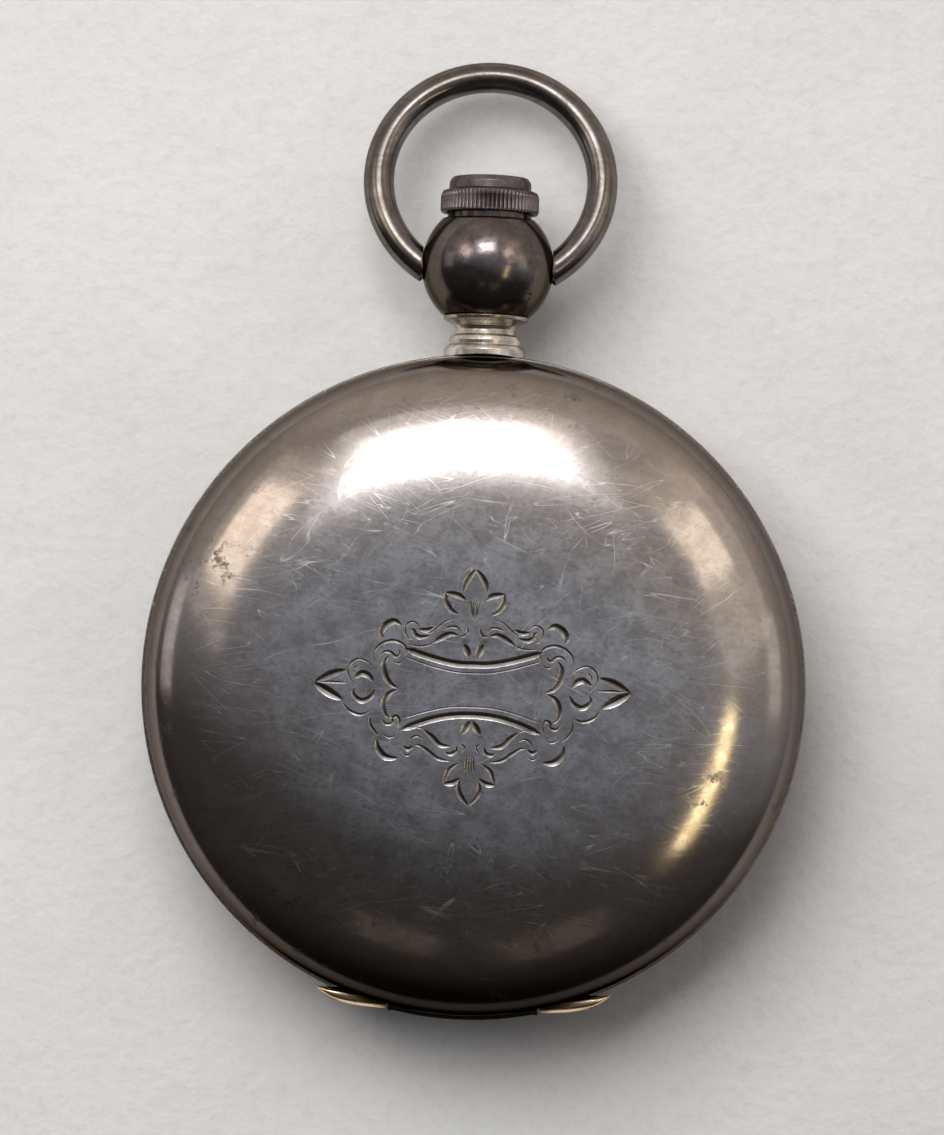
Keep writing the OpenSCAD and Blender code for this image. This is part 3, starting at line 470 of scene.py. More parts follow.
# The cartouche is cut with a graver: each stroke is a V groove that swells and dies away.
# Strokes of the right half, in millimetres from the middle of the cover: (widest, points).
# They are repeated on the left of the axis, which stands a little left of the middle.
AXIS_X = -0.1
STROKES = [
    # upper flower: middle petal, side petal
    (0.34, [(0.0, 9.3), (0.45, 8.8), (0.85, 8.1), (1.0, 7.4)]),
    (0.36, [(0.75, 6.75), (1.4, 7.15), (2.45, 7.35)]),
    (0.32, [(2.4, 7.4), (2.35, 6.6), (1.95, 5.95), (1.35, 5.55)]),
    # cuts in its stem
    (0.14, [(0.4, 6.8), (0.28, 6.1), (0.15, 5.2)]),
    (0.12, [(0.16, 6.7), (0.12, 6.0), (0.06, 5.1)]),
    # upper leaf: back, curl, belly
    (0.12, [(1.6, 5.2), (2.4, 4.95), (3.1, 4.35), (3.7, 3.95), (4.3, 3.95)]),
    (0.3, [(3.3, 4.45), (3.9, 4.2), (4.6, 4.25)]),
    (0.14, [(4.5, 4.1), (4.6, 4.6), (5.05, 4.85), (5.55, 4.6), (5.65, 4.05), (5.4, 3.55), (4.95, 3.35)]),
    (0.3, [(5.25, 4.25), (4.95, 4.15), (4.8, 3.8), (4.4, 3.6), (3.6, 3.75)]),
    (0.16, [(0.5, 4.6), (0.55, 4.1), (0.85, 3.8), (1.2, 3.85)]),
    (0.16, [(1.05, 4.05), (1.4, 4.5), (2.0, 4.5), (2.5, 4.3)]),
    (0.36, [(1.25, 3.85), (1.95, 3.95), (2.7, 3.6), (3.4, 3.15)]),
    (0.12, [(3.0, 3.35), (3.8, 2.95), (4.6, 2.85), (5.3, 2.95)]),
    # dart on the upper bar
    (0.42, [(0.3, 1.95), (0.5, 2.6), (0.8, 3.15)]),
    # corner lobe and corner scroll
    (0.42, [(5.95, 4.55), (6.6, 4.85), (7.3, 4.5), (7.6, 3.9), (7.45, 3.4)]),
    (0.2, [(5.75, 1.9), (5.45, 2.4), (5.75, 2.95), (6.6, 3.25), (7.5, 3.0), (8.1, 2.4), (8.25, 1.6)]),
    (0.2, [(6.2, 2.65), (6.05, 2.2), (6.35, 1.95), (6.8, 2.3), (7.3, 2.3), (7.7, 1.9)]),
    (0.12, [(6.6, 1.6), (6.1, 1.4), (5.6, 1.7)]),
    # bracket above the middle and bracket below it
    (0.36, [(6.95, 2.0), (7.3, 1.3), (7.15, 0.4), (6.7, -0.3), (6.05, -0.65)]),
    (0.34, [(6.1, -0.75), (6.8, -1.1), (7.2, -1.9), (7.1, -2.7), (6.7, -3.15)]),
    # side scrolls
    (0.14, [(8.0, 0.8), (8.6, 1.4), (9.4, 1.65), (10.05, 1.25), (10.25, 0.6), (10.0, 0.0), (9.6, -0.5)]),
    (0.4, [(8.1, -0.2), (8.5, 0.3), (9.05, 0.5), (9.5, 0.25), (9.75, 0.05)]),
    (0.12, [(9.75, 0.4), (9.7, 0.85), (9.3, 1.15)]),
    (0.34, [(7.95, -0.75), (8.3, -1.4), (8.9, -1.75), (9.4, -1.6), (9.75, -1.15), (9.6, -0.75)]),
    (0.2, [(8.3, -2.6), (9.1, -2.9), (10.0, -2.6), (10.6, -1.95)]),
    # arrow head at the side
    (0.46, [(10.35, 0.75), (11.6, 0.35), (13.0, -0.4)]),
    (0.56, [(10.6, -1.75), (11.7, -1.15), (13.0, -0.4)]),
    (0.16, [(10.2, -0.35), (11.4, -0.3), (12.6, -0.35)]),
    # lower corner scroll and lobe
    (0.2, [(8.35, -3.0), (8.2, -3.8), (7.55, -4.6)]),
    (0.42, [(7.7, -4.9), (7.5, -5.7), (6.9, -6.3), (5.9, -6.4)]),
    (0.22, [(7.4, -3.1), (7.0, -3.6), (6.5, -3.5), (6.45, -3.1), (6.1, -2.95), (5.85, -3.4), (6.0, -4.0)]),
    (0.12, [(7.3, -4.4), (6.7, -4.7), (6.1, -4.55)]),
    # lower leaf
    (0.12, [(5.5, -3.9), (4.6, -3.75), (3.9, -3.95)]),
    (0.34, [(3.9, -3.95), (3.2, -4.5), (2.5, -5.15), (1.6, -5.3)]),
    (0.24, [(4.6, -5.3), (4.1, -5.3), (3.4, -5.75), (2.6, -6.3), (1.6, -6.5)]),
    (0.14, [(5.0, -5.2), (4.9, -4.75), (4.4, -4.5), (3.9, -4.75)]),
    (0.26, [(5.55, -5.35), (5.1, -5.6), (4.65, -5.35)]),
    (0.12, [(5.65, -5.85), (5.15, -6.15), (4.7, -5.9)]),
    (0.26, [(1.15, -5.2), (1.2, -5.65), (1.65, -5.9), (2.1, -5.75)]),
    (0.14, [(0.9, -5.0), (0.5, -5.3), (0.7, -5.8)]),
    # dart under the lower bar
    (0.4, [(0.1, -3.15), (0.4, -3.65), (0.8, -4.3)]),
    # lower flower: side petal, middle petal, stem cuts
    (0.26, [(0.9, -6.6), (1.7, -7.2), (2.1, -8.3)]),
    (0.34, [(2.15, -8.35), (1.4, -8.25), (0.75, -7.85)]),
    (0.32, [(0.8, -8.0), (0.85, -8.8), (0.5, -9.5), (0.0, -10.1)]),
    (0.14, [(0.25, -6.0), (0.3, -6.7), (0.4, -7.4)]),
    (0.12, [(0.08, -5.9), (0.1, -6.7), (0.15, -7.6)]),
]
# Bars across the middle, from the axis to the right end
BARS = [
    (0.62, [(0.0, 1.5), (1.5, 1.55), (3.4, 1.95), (5.7, 2.65)]),
    (0.14, [(0.0, 0.78), (1.5, 0.85), (3.4, 1.25), (5.8, 2.0)]),
    (0.14, [(0.0, -2.0), (2.0, -2.1), (3.9, -2.55), (5.7, -3.15)]),
    (0.62, [(0.0, -2.65), (2.0, -2.8), (3.9, -3.3), (5.75, -4.05)]),
]
STROKE_STEP = 0.11      # between points along a groove
GROOVE_SLOPE = 0.34     # depth for each unit of half width
CUT_WIDTH = 1.45        # widens every stroke
THIN_HALF = 0.09        # half width under which a stroke's floor is less dark
TOP_R = 15.5            # net of triangles round the engraving
TOP_SEGMENTS = 256
NET_SPACING = 0.8


def spline(points):
    """Smooth curve through points, sampled at nearly even steps."""
    pts = [Vector(p) for p in points]
    pts = [pts[0] * 2 - pts[1]] + pts + [pts[-1] * 2 - pts[-2]]
    out = []
    for i in range(1, len(pts) - 2):
        p0, p1, p2, p3 = pts[i - 1:i + 3]
        count = max(2, round((p2 - p1).length / STROKE_STEP))
        for k in range(count):
            t = k / count
            out.append(0.5 * (2 * p1 + (p2 - p0) * t + (2 * p0 - 5 * p1 + 4 * p2 - p3) * t * t
                              + (3 * p1 - p0 - 3 * p2 + p3) * t ** 3))
    return out + [pts[-2]]


def groove_paths():
    """Every groove as its centre line with the half width at each point."""
    paths = []
    for width, points in STROKES:
        line = spline(points)
        last = len(line) - 1
        half = [CUT_WIDTH * width / 2 * math.sin(math.pi * (k / last)) ** 0.55 for k in range(len(line))]
        for side in (1, -1):
            paths.append(([Vector((AXIS_X + side * p.x, p.y)) for p in line], half))
    for width, points in BARS:
        right = spline([(-points[1][0], points[1][1])] + points)
        right = [p for p in right if p.x >= -1e-6]
        line = [Vector((-p.x, p.y)) for p in right[:0:-1]] + right
        last = len(line) - 1
        half = [width / 2 * min(1.0, (min(k, last - k) / 7) ** 0.6) for k in range(len(line))]
        paths.append(([Vector((AXIS_X + p.x, p.y)) for p in line], half))
    return paths


def groove_depths(points, paths):
    """How deep the engraving is at each point, and how near the point is to a groove's floor, 0 to 1."""
    centres = np.array([tuple(p) for line, _ in paths for p in line])
    halves = np.array([h for _, half in paths for h in half])
    depths, floors = np.zeros(len(points)), np.zeros(len(points))
    darkness = np.minimum(1, halves / THIN_HALF)
    block = 2000
    for start in range(0, len(points), block):
        here = slice(start, start + block)
        away = np.linalg.norm(np.array(points[here])[:, None, :] - centres[None, :, :], axis=2)
        depths[here] = np.maximum(0.0, (halves[None, :] - away).max(axis=1))
        nearness = np.clip(1 - away / np.maximum(halves, 0.05)[None, :], 0, 1)
        floors[here] = (nearness * darkness[None, :]).max(axis=1)
    return depths * GROOVE_SLOPE, floors


def engraved_top():
    """The middle of the cover as a triangle net that follows both edges and the floor of every groove."""
    points, edges = [], []

    def chain(line, loop=False):
        first = len(points)
        points.extend(line)
        edges.extend((first + k, first + k + 1) for k in range(len(line) - 1))
        if loop:
            edges.append((len(points) - 1, first))

    chain(circle(TOP_R, TOP_SEGMENTS), loop=True)
    paths = groove_paths()
    for line, half in paths:
        chain(line)
        last = len(line) - 1
        ways = [(line[min(k + 1, last)] - line[max(k - 1, 0)]).normalized() for k in range(len(line))]
        for side in (1, -1):
            chain([p + Vector((-w.y, w.x)) * h * side for p, w, h in zip(line, ways, half)][1:-1])
    rows = int(TOP_R / NET_SPACING)
    for i in range(-rows, rows + 1):
        for j in range(-rows, rows + 1):
            p = Vector((i * NET_SPACING + (j % 2) * NET_SPACING / 2, j * NET_SPACING * 0.87))
            if p.length < TOP_R - NET_SPACING * 0.6:
                points.append(p)
    verts, _, faces, *_ = delaunay_2d_cdt(points, edges, [], 0, 0.004)
    depths, floors = groove_depths([tuple(v) for v in verts], paths)
    return verts, faces, depths, floors


def dome_normal(x, y):
    """Outward direction of the front cover's surface."""
    r = math.hypot(x, y)
    if r < 1e-9:
        return Vector((0, 0, 1))
    root = math.sqrt(max(1e-9, 1 - (r / COVER_R) ** DOME_POWER))
    fall = COVER_H * DOME_POWER / 2 * (r / COVER_R) ** (DOME_POWER - 1) / COVER_R / root
    return Vector((x / r * fall, y / r * fall, 1)).normalized()


def front_cover():
    """Hunter cover with its engraving cut into the metal."""
    top, top_faces, depths, floors = engraved_top()
    verts = [(v.x, v.y, COVER_Z + dome(v.length, COVER_R, COVER_H) - d) for v, d in zip(top, depths)]
    faces = [list(f) for f in top_faces]
    top_count = len(faces)
    # ring of the net's outer points, in order round the cover
    edge = sorted((k for k, v in enumerate(top) if abs(v.length - TOP_R) < 1e-3),
                  key=lambda k: math.atan2(top[k].y, top[k].x) % (2 * math.pi))
    rows = [edge]
    outer = dome_line(COVER_R, COVER_H, start=TOP_R, steps=60)[1:]
    inner_r = COVER_R - RIM_WALL
    rim = rounded([(COVER_R, 0.12, 0), (COVER_R, 0.0, 0.1), (inner_r, 0.0, 0.05), (inner_r, 0.1, 0)])[1:-1]
    section = outer[:-1] + rim + dome_line(inner_r, COVER_H - COVER_WALL, steps=60)[::-1][1:]
    for r, z in section:
        if r < 1e-6:
            rows.append([len(verts)] * len(edge))
            verts.append((0, 0, COVER_Z + z))
            continue
        rows.append(list(range(len(verts), len(verts) + len(edge))))
        for k in edge:
            a = math.atan2(top[k].y, top[k].x)
            verts.append((r * math.cos(a), r * math.sin(a), COVER_Z + z))
    for low, high in zip(rows, rows[1:]):
        for k in range(len(edge)):
            m = (k + 1) % len(edge)
            quad = [low[k], high[k], high[m], low[m]]
            faces.append(quad if high[k] != high[m] else [low[k], high[k], low[m]])
    cover = make("front_cover_shell", verts, faces, "front_cover", SILVER_COVER, ["front_cover"],
                 "case_silver", sharp=40)
    groove = cover.data.attributes.new("groove", "FLOAT", "POINT")
    values = np.zeros(len(cover.data.vertices), np.float32)
    values[:len(depths)] = floors
    groove.data.foreach_set("value", values)
    keep_dome(cover.data, depths, top_count, top_count + (len(outer) - 1) * len(edge))
    return cover


def keep_dome(mesh, depths, top_count, outside_count):
    """Gives the plain surface the dome's own direction, right up to the edge of each groove."""
    barely_cut = 0.006
    normals = []
    for polygon in mesh.polygons:
        plain = polygon.index < top_count and all(depths[v] < barely_cut for v in polygon.vertices)
        outer_ring = top_count <= polygon.index < outside_count
        for v in polygon.vertices:
            if plain or outer_ring:
                co = mesh.vertices[v].co / MM
                normals.append(dome_normal(co.x, co.y))
            elif polygon.index < top_count:
                normals.append(polygon.normal.copy())
            else:
                normals.append(Vector((0, 0, 0)))
    mesh.normals_split_custom_set(normals)


# ---------------------------------------------------------------- case

def rear_cover():
    """Rear cover, a dome cut off flat where the watch rests."""
    rest_h = COVER_H / math.sqrt(1 - (REST_R / COVER_R) ** DOME_POWER)
    inner_r = COVER_R - RIM_WALL
    outer = [(0.0, -REAR_Z)] + [(r, -z) for r, z in dome_line(COVER_R, rest_h, start=REST_R, steps=90)]
    outer = [(r, max(z, -REAR_Z)) for r, z in outer]
    rim = rounded([(COVER_R, -0.12, 0), (COVER_R, 0.0, 0.1), (inner_r, 0.0, 0.05), (inner_r, -0.1, 0)])[1:-1]
    inner = [(r, -z) for r, z in dome_line(inner_r, COVER_H - COVER_WALL, steps=60)[::-1]]
    profile = [(r, REAR_Z + z) for r, z in outer[:-1] + rim + inner[1:]]
    verts, faces = lathe(profile, 256, closed=False)
    return make("rear_cover_shell", verts, faces, "rear_cover", SILVER_REAR, ["rear_cover"], "case_silver")


def inner_cover():
    """Thin cover over the movement, with its own small hinge barrel."""
    rim_r, h, wall = 24.9, 4.25, 0.28
    outer = [(r, -z) for r, z in dome_line(rim_r, h, INNER_POWER, steps=70)]
    inner = [(r, -z) for r, z in dome_line(rim_r - wall, h - wall, INNER_POWER, steps=70)[::-1]]
    profile = [(r, INNER_RIM_Z + z) for r, z in outer + inner]
    verts, faces = lathe(profile, 256, closed=False)
    # straight gap for its joint
    gap_x, gap_y = 4.3, -23.6
    verts = [(x, gap_y if abs(x) < gap_x and y < gap_y else y, z) for x, y, z in verts]
    shell = make("inner_cover_shell", verts, faces, "inner_cover", SILVER_INSIDE, [], "case_silver")
    joint_y, pin_r, outer_r, half = -24.3, 0.18, 0.45, 2
    section = [(pin_r, -half, 0), (outer_r, -half, 0.08), (outer_r, half, 0.08), (pin_r, half, 0)]
    verts, faces = lathe(rounded(section), 48)
    make("inner_cover_barrel", about_x(verts, joint_y, INNER_RIM_Z), faces, "inner_cover", SILVER_INSIDE, [],
         "case_silver")
    web = prism([(-half, joint_y), (half, joint_y), (half, joint_y + 1), (-half, joint_y + 1)],
                INNER_RIM_Z - 0.9, INNER_RIM_Z - 0.1)
    make("inner_cover_web", *web, "inner_cover", SILVER_INSIDE, [], "case_silver")
    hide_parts("inner_cover")
    return shell


def band():
    """Case band with the straight cut behind the cover joints."""
    z0, z1 = band_lo.z, band_hi.z
    seat, lip_r, bore_r, hole_r = MID - 1.1, 25.2, 26.2, 21.9
    profile = rounded([
        (BAND_R - 0.05, z0, 0.12), (BAND_R, z0 + 0.3, 0.3), (BAND_R, z1 - 0.3, 0.3),
        (BAND_R - 0.05, z1, 0.12), (lip_r, z1, 0.08), (lip_r, z1 - 0.6, 0.1), (bore_r, z1 - 0.9, 0.2),
        (bore_r, seat, 0.2), (hole_r, seat, 0.05), (hole_r, seat - 0.6, 0.05), (lip_r, seat - 0.8, 0.1),
        (lip_r, z0, 0.08)], 5)
    verts, faces = lathe(profile, 360)
    wall, inside_r, cut_x = 0.6, 26.25, 11.2
    cut = []
    for x, y, z in verts:
        floor_y = BAND_CUT_Y if math.hypot(x, y) > inside_r else BAND_CUT_Y + wall
        near = y < 0 and abs(x) < cut_x
        cut.append((x, max(y, floor_y) if near else y, z))
    return make("case_band_ring", cut, faces, "case", SILVER_BAND, ["case_band"], "case_silver", sharp=25)


def neck():
    """Turned neck between band and ball, its foot fitted to the band."""
    foot_y = 26.9
    profile = rounded([
        (PENDANT_BORE, foot_y, 0), (3.4, foot_y, 0), (3.4, 27.95, 0.18), (3.22, 28.25, 0.12),
        (2.98, 28.4, 0.06), (3.02, 28.75, 0.2), (2.9, 29.08, 0.12), (2.6, 29.25, 0.1), (2.45, 29.65, 0.25),
        (2.65, 30.0, 0.25), (3.1, 30.3, 0.25), (3.5, 30.5, 0.08), (3.56, 30.75, 0.06),
        (3.42, BALL_FOOT_Y, 0.05), (PENDANT_BORE, BALL_FOOT_Y, 0)], 6)
    verts, faces = lathe(profile, 144)
    fitted = [(x, max(y, math.sqrt(BAND_R ** 2 - x * x)), z) for x, y, z in about_y(verts)]
    return make("pendant_neck_turned", fitted, faces, "case", SILVER_NECK, ["pendant_neck"], "case_silver")


def ball():
    """Pendant ball, open at its foot, with the short sleeve that the crown slides over."""
    top, bottom = BALL_TOP_Y - BALL_Y, BALL_FOOT_Y - BALL_Y
    steps = 72
    a0, a1 = math.acos(top / BALL_R), math.acos(bottom / BALL_R)
    angles = [a0 + (a1 - a0) * k / steps for k in range(steps + 1)]
    line = [(BALL_R * math.sin(a), BALL_Y + BALL_R * math.cos(a)) for a in angles]
    tube_r, tube_y = 3.5, BALL_Y + top + 0.7
    lip = [(PENDANT_BORE, tube_y), (tube_r - 0.1, tube_y), (tube_r, tube_y - 0.1), (tube_r, BALL_Y + top),
           (line[0][0] - 0.08, BALL_Y + top)]
    verts, faces = lathe(lip + line + [(PENDANT_BORE, BALL_Y + bottom)], 160)
    return make("pendant_ball_turned", about_y(verts), faces, "case", SILVER_BALL, ["pendant_ball"],
                "bow_silver")


def crown():
    """Fluted crown with a smooth cap, hollow underneath."""
    flutes, per_flute, flute_depth = 72, 6, 0.17
    skirt_r, flute_lo, flute_hi = 3.6, 39.5, 41.2
    profile = rounded([
        (1.0, 40.1, 0), (3.55, 40.1, 0.1), (3.62, 39.41, 0.05), (4.0, 39.41, 0.12), (4.1, 39.65, 0.12),
        (4.1, 40.8, 0.25), (3.95, 41.2, 0.25), (3.6, 41.34, 0.12), (3.42, 41.4, 0.1), (3.4, 42.0, 0.25),
        (3.15, 42.4, 0.25), (2.5, 42.5, 0.3), (0, 42.54, 0)], 6)
    verts, faces = lathe(profile, flutes * per_flute, closed=False)
    cut = []
    for x, y, z in verts:
        r = math.hypot(x, y)
        scale = 1.0
        if r >= skirt_r:
            # the flutes die away at both ends
            run = max(0.0, min(1.0, (z - flute_lo) / 0.2)) * max(0.0, min(1.0, (flute_hi - z) / 0.35))
            tooth = abs((math.atan2(y, x) * flutes / (2 * math.pi)) % 1 - 0.5) * 2
            scale = (r - flute_depth * run * (1 - tooth ** 1.6)) / r
        cut.append((x * scale, y * scale, z))
    return make("crown_fluted", about_y(cut), faces, "crown", CROWN_METAL, ["crown"], "crown_metal", sharp=50)


def bow():
    """Round bow, drooping towards the floor, its ends hollowed to fit round the ball."""
    ring_r, wire, gap = 9.33, 1.27, 0.08
    centre = math.sqrt(ring_r ** 2 - BALL_R ** 2)
    droop = Matrix.Rotation(math.radians(-15), 3, "X")
    start = math.asin(-centre / ring_r)
    overlap = 0.06
    segments, sides = 220, 40
    verts, faces = [], []
    for k in range(segments + 1):
        a = start - overlap + (math.pi - 2 * start + 2 * overlap) * k / segments
        for s in range(sides):
            b = 2 * math.pi * s / sides
            out, up = wire * math.cos(b), wire * math.sin(b)
            p = Vector(((ring_r + out) * math.cos(a), centre + (ring_r + out) * math.sin(a), up))
            if p.length < BALL_R + gap:
                p = p.normalized() * (BALL_R + gap)
            p = droop @ p
            verts.append((p.x, BALL_Y + p.y, MID + p.z))
    for k in range(segments):
        for s in range(sides):
            m = (s + 1) % sides
            faces.append([k * sides + s, (k + 1) * sides + s, (k + 1) * sides + m, k * sides + m])
    faces.append(list(range(sides)))
    faces.append(list(range(segments * sides, (segments + 1) * sides))[::-1])
    return make("bow_wire", verts, faces, "bow", SILVER_BOW, ["bow"], "bow_silver", sharp=60)


def joint_ends(name, z, node):
    """Gold ends of a cover joint: barrels that taper to a point along the outline of the case."""
    outline_r, start, taper, end = 28.5, 6.4, 10.4, 12.35
    back_y, flat_y, soft = HINGE_Y + BARREL_R, 26.9, 60
    web_y, web_half = -25.3, 0.8
    rows, sides = 48, 40
    parts = []
    for side in (1, -1):
        verts, faces = [], []
        for k in range(rows + 1):
            x = start + (end - start) * k / rows
            # along the flat of the joint, then round with the case to its point
            drawn_in = 0.6 * (max(0.0, x - taper) / (end - taper)) ** 2
            round_y = math.sqrt((outline_r - drawn_in) ** 2 - x * x)
            low_y = -(flat_y ** -soft + round_y ** -soft) ** (-1 / soft)
            half_y = max(0.03, (back_y - low_y) / 2)
            half_z = BARREL_R * math.sqrt(half_y / BARREL_R)
            for s in range(sides):
                a = 2 * math.pi * s / sides
                verts.append((side * x, low_y + half_y + half_y * math.cos(a), z + half_z * math.sin(a)))
        for k in range(rows):
            for s in range(sides):
                m = (s + 1) % sides
                quad = [k * sides + s, k * sides + m, (k + 1) * sides + m, (k + 1) * sides + s]
                faces.append(quad if side > 0 else quad[::-1])
        faces.append(list(range(sides))[::-side])
        faces.append(list(range(rows * sides, (rows + 1) * sides))[::side])
        parts.append((verts, faces))
        # web between barrel and band
        web = [(start, HINGE_Y), (7.2, HINGE_Y), (10.2, web_y), (10.2, BAND_CUT_Y), (start, BAND_CUT_Y)]
        parts.append(prism([(side * x, y) for x, y in web][::side], z - web_half, z + web_half))
    verts, faces = join(*parts)
    return make(name, verts, faces, "case", GOLD, [node], "joint_gold", sharp=40)


# ---------------------------------------------------------------- dial side

def clock_point(turns, r, centre=(0.0, 0.0)):
    """Place on the dial: twelve points to -X and three to +Y."""
    a = math.pi - 2 * math.pi * turns
    return (centre[0] + r * math.cos(a), centre[1] + r * math.sin(a))


def bezel():
    """Ring that holds the crystal over the dial."""
    z0, z1 = bezel_lo.z, bezel_hi.z
    outer_r, hole_r, seat_r, glass_r = 25.6, DIAL_R + 0.15, 21.7, 22.3
    under_seat = MID + 2.65
    profile = rounded([
        (hole_r, z0, 0.03), (outer_r, z0, 0.1), (outer_r, GLASS_SEAT_Z, 0.25), (24.9, MID + 4.1, 0.5),
        (23.6, z1, 0.3), (glass_r, z1, 0.12), (glass_r, GLASS_SEAT_Z, 0.02), (seat_r, GLASS_SEAT_Z, 0.08),
        (seat_r, under_seat, 0.03), (hole_r, under_seat, 0.02)], 6)
    verts, faces = lathe(profile, 288)
    return make("bezel_ring", verts, faces, "case", SILVER_INSIDE, ["bezel"], "case_silver")


def crystal():
    """Low watch glass, a little bulged."""
    r, bulge, thick, steps = 22.28, 1.3, 0.8, 24
    under = [(r * k / steps, GLASS_SEAT_Z + bulge * (1 - (k / steps) ** 2)) for k in range(steps + 1)]
    over = [(x, z + thick) for x, z in under]
    shoulder = [(r - 0.1, GLASS_SEAT_Z + thick + 0.005), (r, GLASS_SEAT_Z + thick - 0.12)]
    profile = over[:-1] + shoulder + under[::-1]
    verts, faces = lathe(profile, 192, closed=False)
    return make("crystal_glass", verts, faces, "case", GLASS, ["crystal"], "glass")


def dial():
    """Enamel plate with the seconds dial let in, its feet and its painted figures."""
    z = dial_hi.z
    sunk = z - SECONDS_SUNK
    hole_r, seconds_r, seconds_hole_r = 1.2, 4.6, 0.4
    points, edges = [], []
    for r, count, centre in ((DIAL_R, 240, (0, 0)), (hole_r, 48, (0, 0)), (seconds_r, 120, SECONDS_AT)):
        first = len(points)
        points += circle(r, count, centre)
        edges += [(first + k, first + (k + 1) % count) for k in range(count)]
    net, _, net_faces, *_ = delaunay_2d_cdt(points, edges, [], 0, 1e-4)
    top_faces = []
    for f in net_faces:
        c = sum((net[v] for v in f), Vector((0, 0))) / len(f)
        if hole_r < c.length < DIAL_R and (c - SECONDS_AT).length > seconds_r:
            top_faces.append(list(f))
    top = ([(v.x, v.y, z) for v in net], top_faces)
    side = [(DIAL_R, z), (DIAL_R, DIAL_UNDER_Z), (hole_r, DIAL_UNDER_Z), (hole_r, z)]
    edge = lathe(side, 240, closed=False)
    step = lathe(rounded([(seconds_r, z, 0), (seconds_r - 0.12, sunk, 0.05), (seconds_hole_r, sunk, 0),
                          (seconds_hole_r, sunk - 0.4, 0)]), 120, closed=False)
    plate = make("dial_plate", *join(top, edge, moved(step, SECONDS_AT)), "case", ENAMEL, ["dial"], "enamel")
    foot_at, foot_r, foot_z = 20, 0.4, MID + 0.45
    foot = lathe([(0, foot_z), (foot_r, foot_z), (foot_r, DIAL_UNDER_Z), (0, DIAL_UNDER_Z)], 24, closed=False)
    places = [(foot_at * math.cos(math.radians(a)), foot_at * math.sin(math.radians(a))) for a in (60, 300)]
    make("dial_feet", *join(*[moved(foot, place) for place in places]), "case", GILT_WHEEL, [], "gilt_wheel")
    figures(z, sunk)
    return plate


def flat_bar(a, b, half_a, half_b, z):
    """A thin painted bar between two points."""
    a, b = Vector(a), Vector(b)
    way = (b - a).normalized()
    side = Vector((-way.y, way.x))
    outline = [a + side * half_a, a - side * half_a, b - side * half_b, b + side * half_b]
    return prism([tuple(p) for p in outline], z - PAINT_DEPTH, z + PAINT_LIFT)


def ring_mark(r, half, z, centre=(0, 0), count=240):
    """A thin painted ring."""
    lo, hi = z - PAINT_DEPTH, z + PAINT_LIFT
    return moved(lathe([(r - half, lo), (r - half, hi), (r + half, hi), (r + half, lo)], count), centre)


ROMAN = ["XII", "I", "II", "III", "IIII", "V", "VI", "VII", "VIII", "IX", "X", "XI"]


def numeral(letters, turns, z):
    """One Roman figure, its foot towards the middle of the dial."""
    inner, outer = 14.6, 19.0
    thick, thin, serif, gap = 0.21, 0.06, 0.05, 0.72
    widths = {"I": 1.0, "V": 2.3, "X": 2.3}
    squeeze = 0.86 if len(letters) == 4 else 1.0
    up = Vector(clock_point(turns, 1.0))
    across = Vector((up.y, -up.x))

    def place(s, h):
        p = up * (inner + (outer - inner) * h) + across * s * (0.9 + 0.2 * h)
        return (p.x, p.y)

    parts = []
    at = -sum(widths[c] for c in letters) * gap / 2
    for c in letters:
        w = widths[c] * gap
        mid = (at + w / 2) * squeeze
        half = w / 2 * squeeze * 0.86
        left, right = mid - half * 0.8, mid + half * 0.8
        if c == "I":
            half = 0.42
            parts.append(flat_bar(place(mid, 0), place(mid, 1), thick, thick, z))
        elif c == "V":
            parts.append(flat_bar(place(left, 1), place(mid, 0), thick, thick * 0.8, z))
            parts.append(flat_bar(place(right, 1), place(mid, 0), thin, thin, z))
        else:
            parts.append(flat_bar(place(left, 1), place(right, 0), thick, thick, z))
            parts.append(flat_bar(place(right, 1), place(left, 0), thin, thin, z))
        for h in (1, 0):
            parts.append(flat_bar(place(mid - half, h), place(mid + half, h), serif, serif, z))
        at += w
    return parts


def figures(z, sunk):
    """Roman figures, minute track and seconds track, painted on the enamel."""
    parts = []
    for hour, letters in enumerate(ROMAN):
        # the seconds dial takes the place of six
        if hour != 6:
            parts += numeral(letters, hour / 12, z)
    minute_in, minute_out = 19.9, 20.9
    parts += [ring_mark(r, 0.035, z) for r in (minute_in, minute_out)]
    for k in range(60):
        half = 0.14 if k % 5 == 0 else 0.04
        parts.append(flat_bar(clock_point(k / 60, minute_in), clock_point(k / 60, minute_out), half, half, z))
    second_long, second_in, second_out = 3.1, 3.3, 3.95
    parts += [ring_mark(r, 0.025, sunk, SECONDS_AT, 120) for r in (second_in, second_out)]
    for k in range(60):
        half = 0.06 if k % 5 == 0 else 0.03
        start = clock_point(k / 60, second_long if k % 15 == 0 else second_in, SECONDS_AT)
        parts.append(flat_bar(start, clock_point(k / 60, second_out, SECONDS_AT), half, half, sunk))
    return make("dial_figures", *join(*parts), "case", PAINT, [], "enamel")


def finish_cad_nodes():
    """The working parts keep their CAD shape and take a real finish. The knuckles are as dark as the bow."""
    slots = {"steel": STEEL, "polished_steel": POLISHED, "blued_steel": BLUED, "gilt_plate": GILT_PLATE,
             "gilt_wheel": GILT_WHEEL, "ruby": RUBY, "case_silver": SILVER_INSIDE, "bow_silver": SILVER_BOW,
             "crown_metal": CROWN_METAL, "joint_gold": GOLD, "enamel": ENAMEL, "glass": GLASS}
    # the knuckles take the dark silver of the bow
    dark_knuckles = {"front_cover_knuckle": SILVER_BOW, "rear_cover_knuckle": SILVER_BOW}
    for part in frame["record"]["subparts"]:
        node = frame["nodes"][part["node"]]
        node.data.materials.clear()
        node.data.materials.append(dark_knuckles.get(part["node"], slots[part["material_slot"]]))


# ---------------------------------------------------------------- light, floor, camera

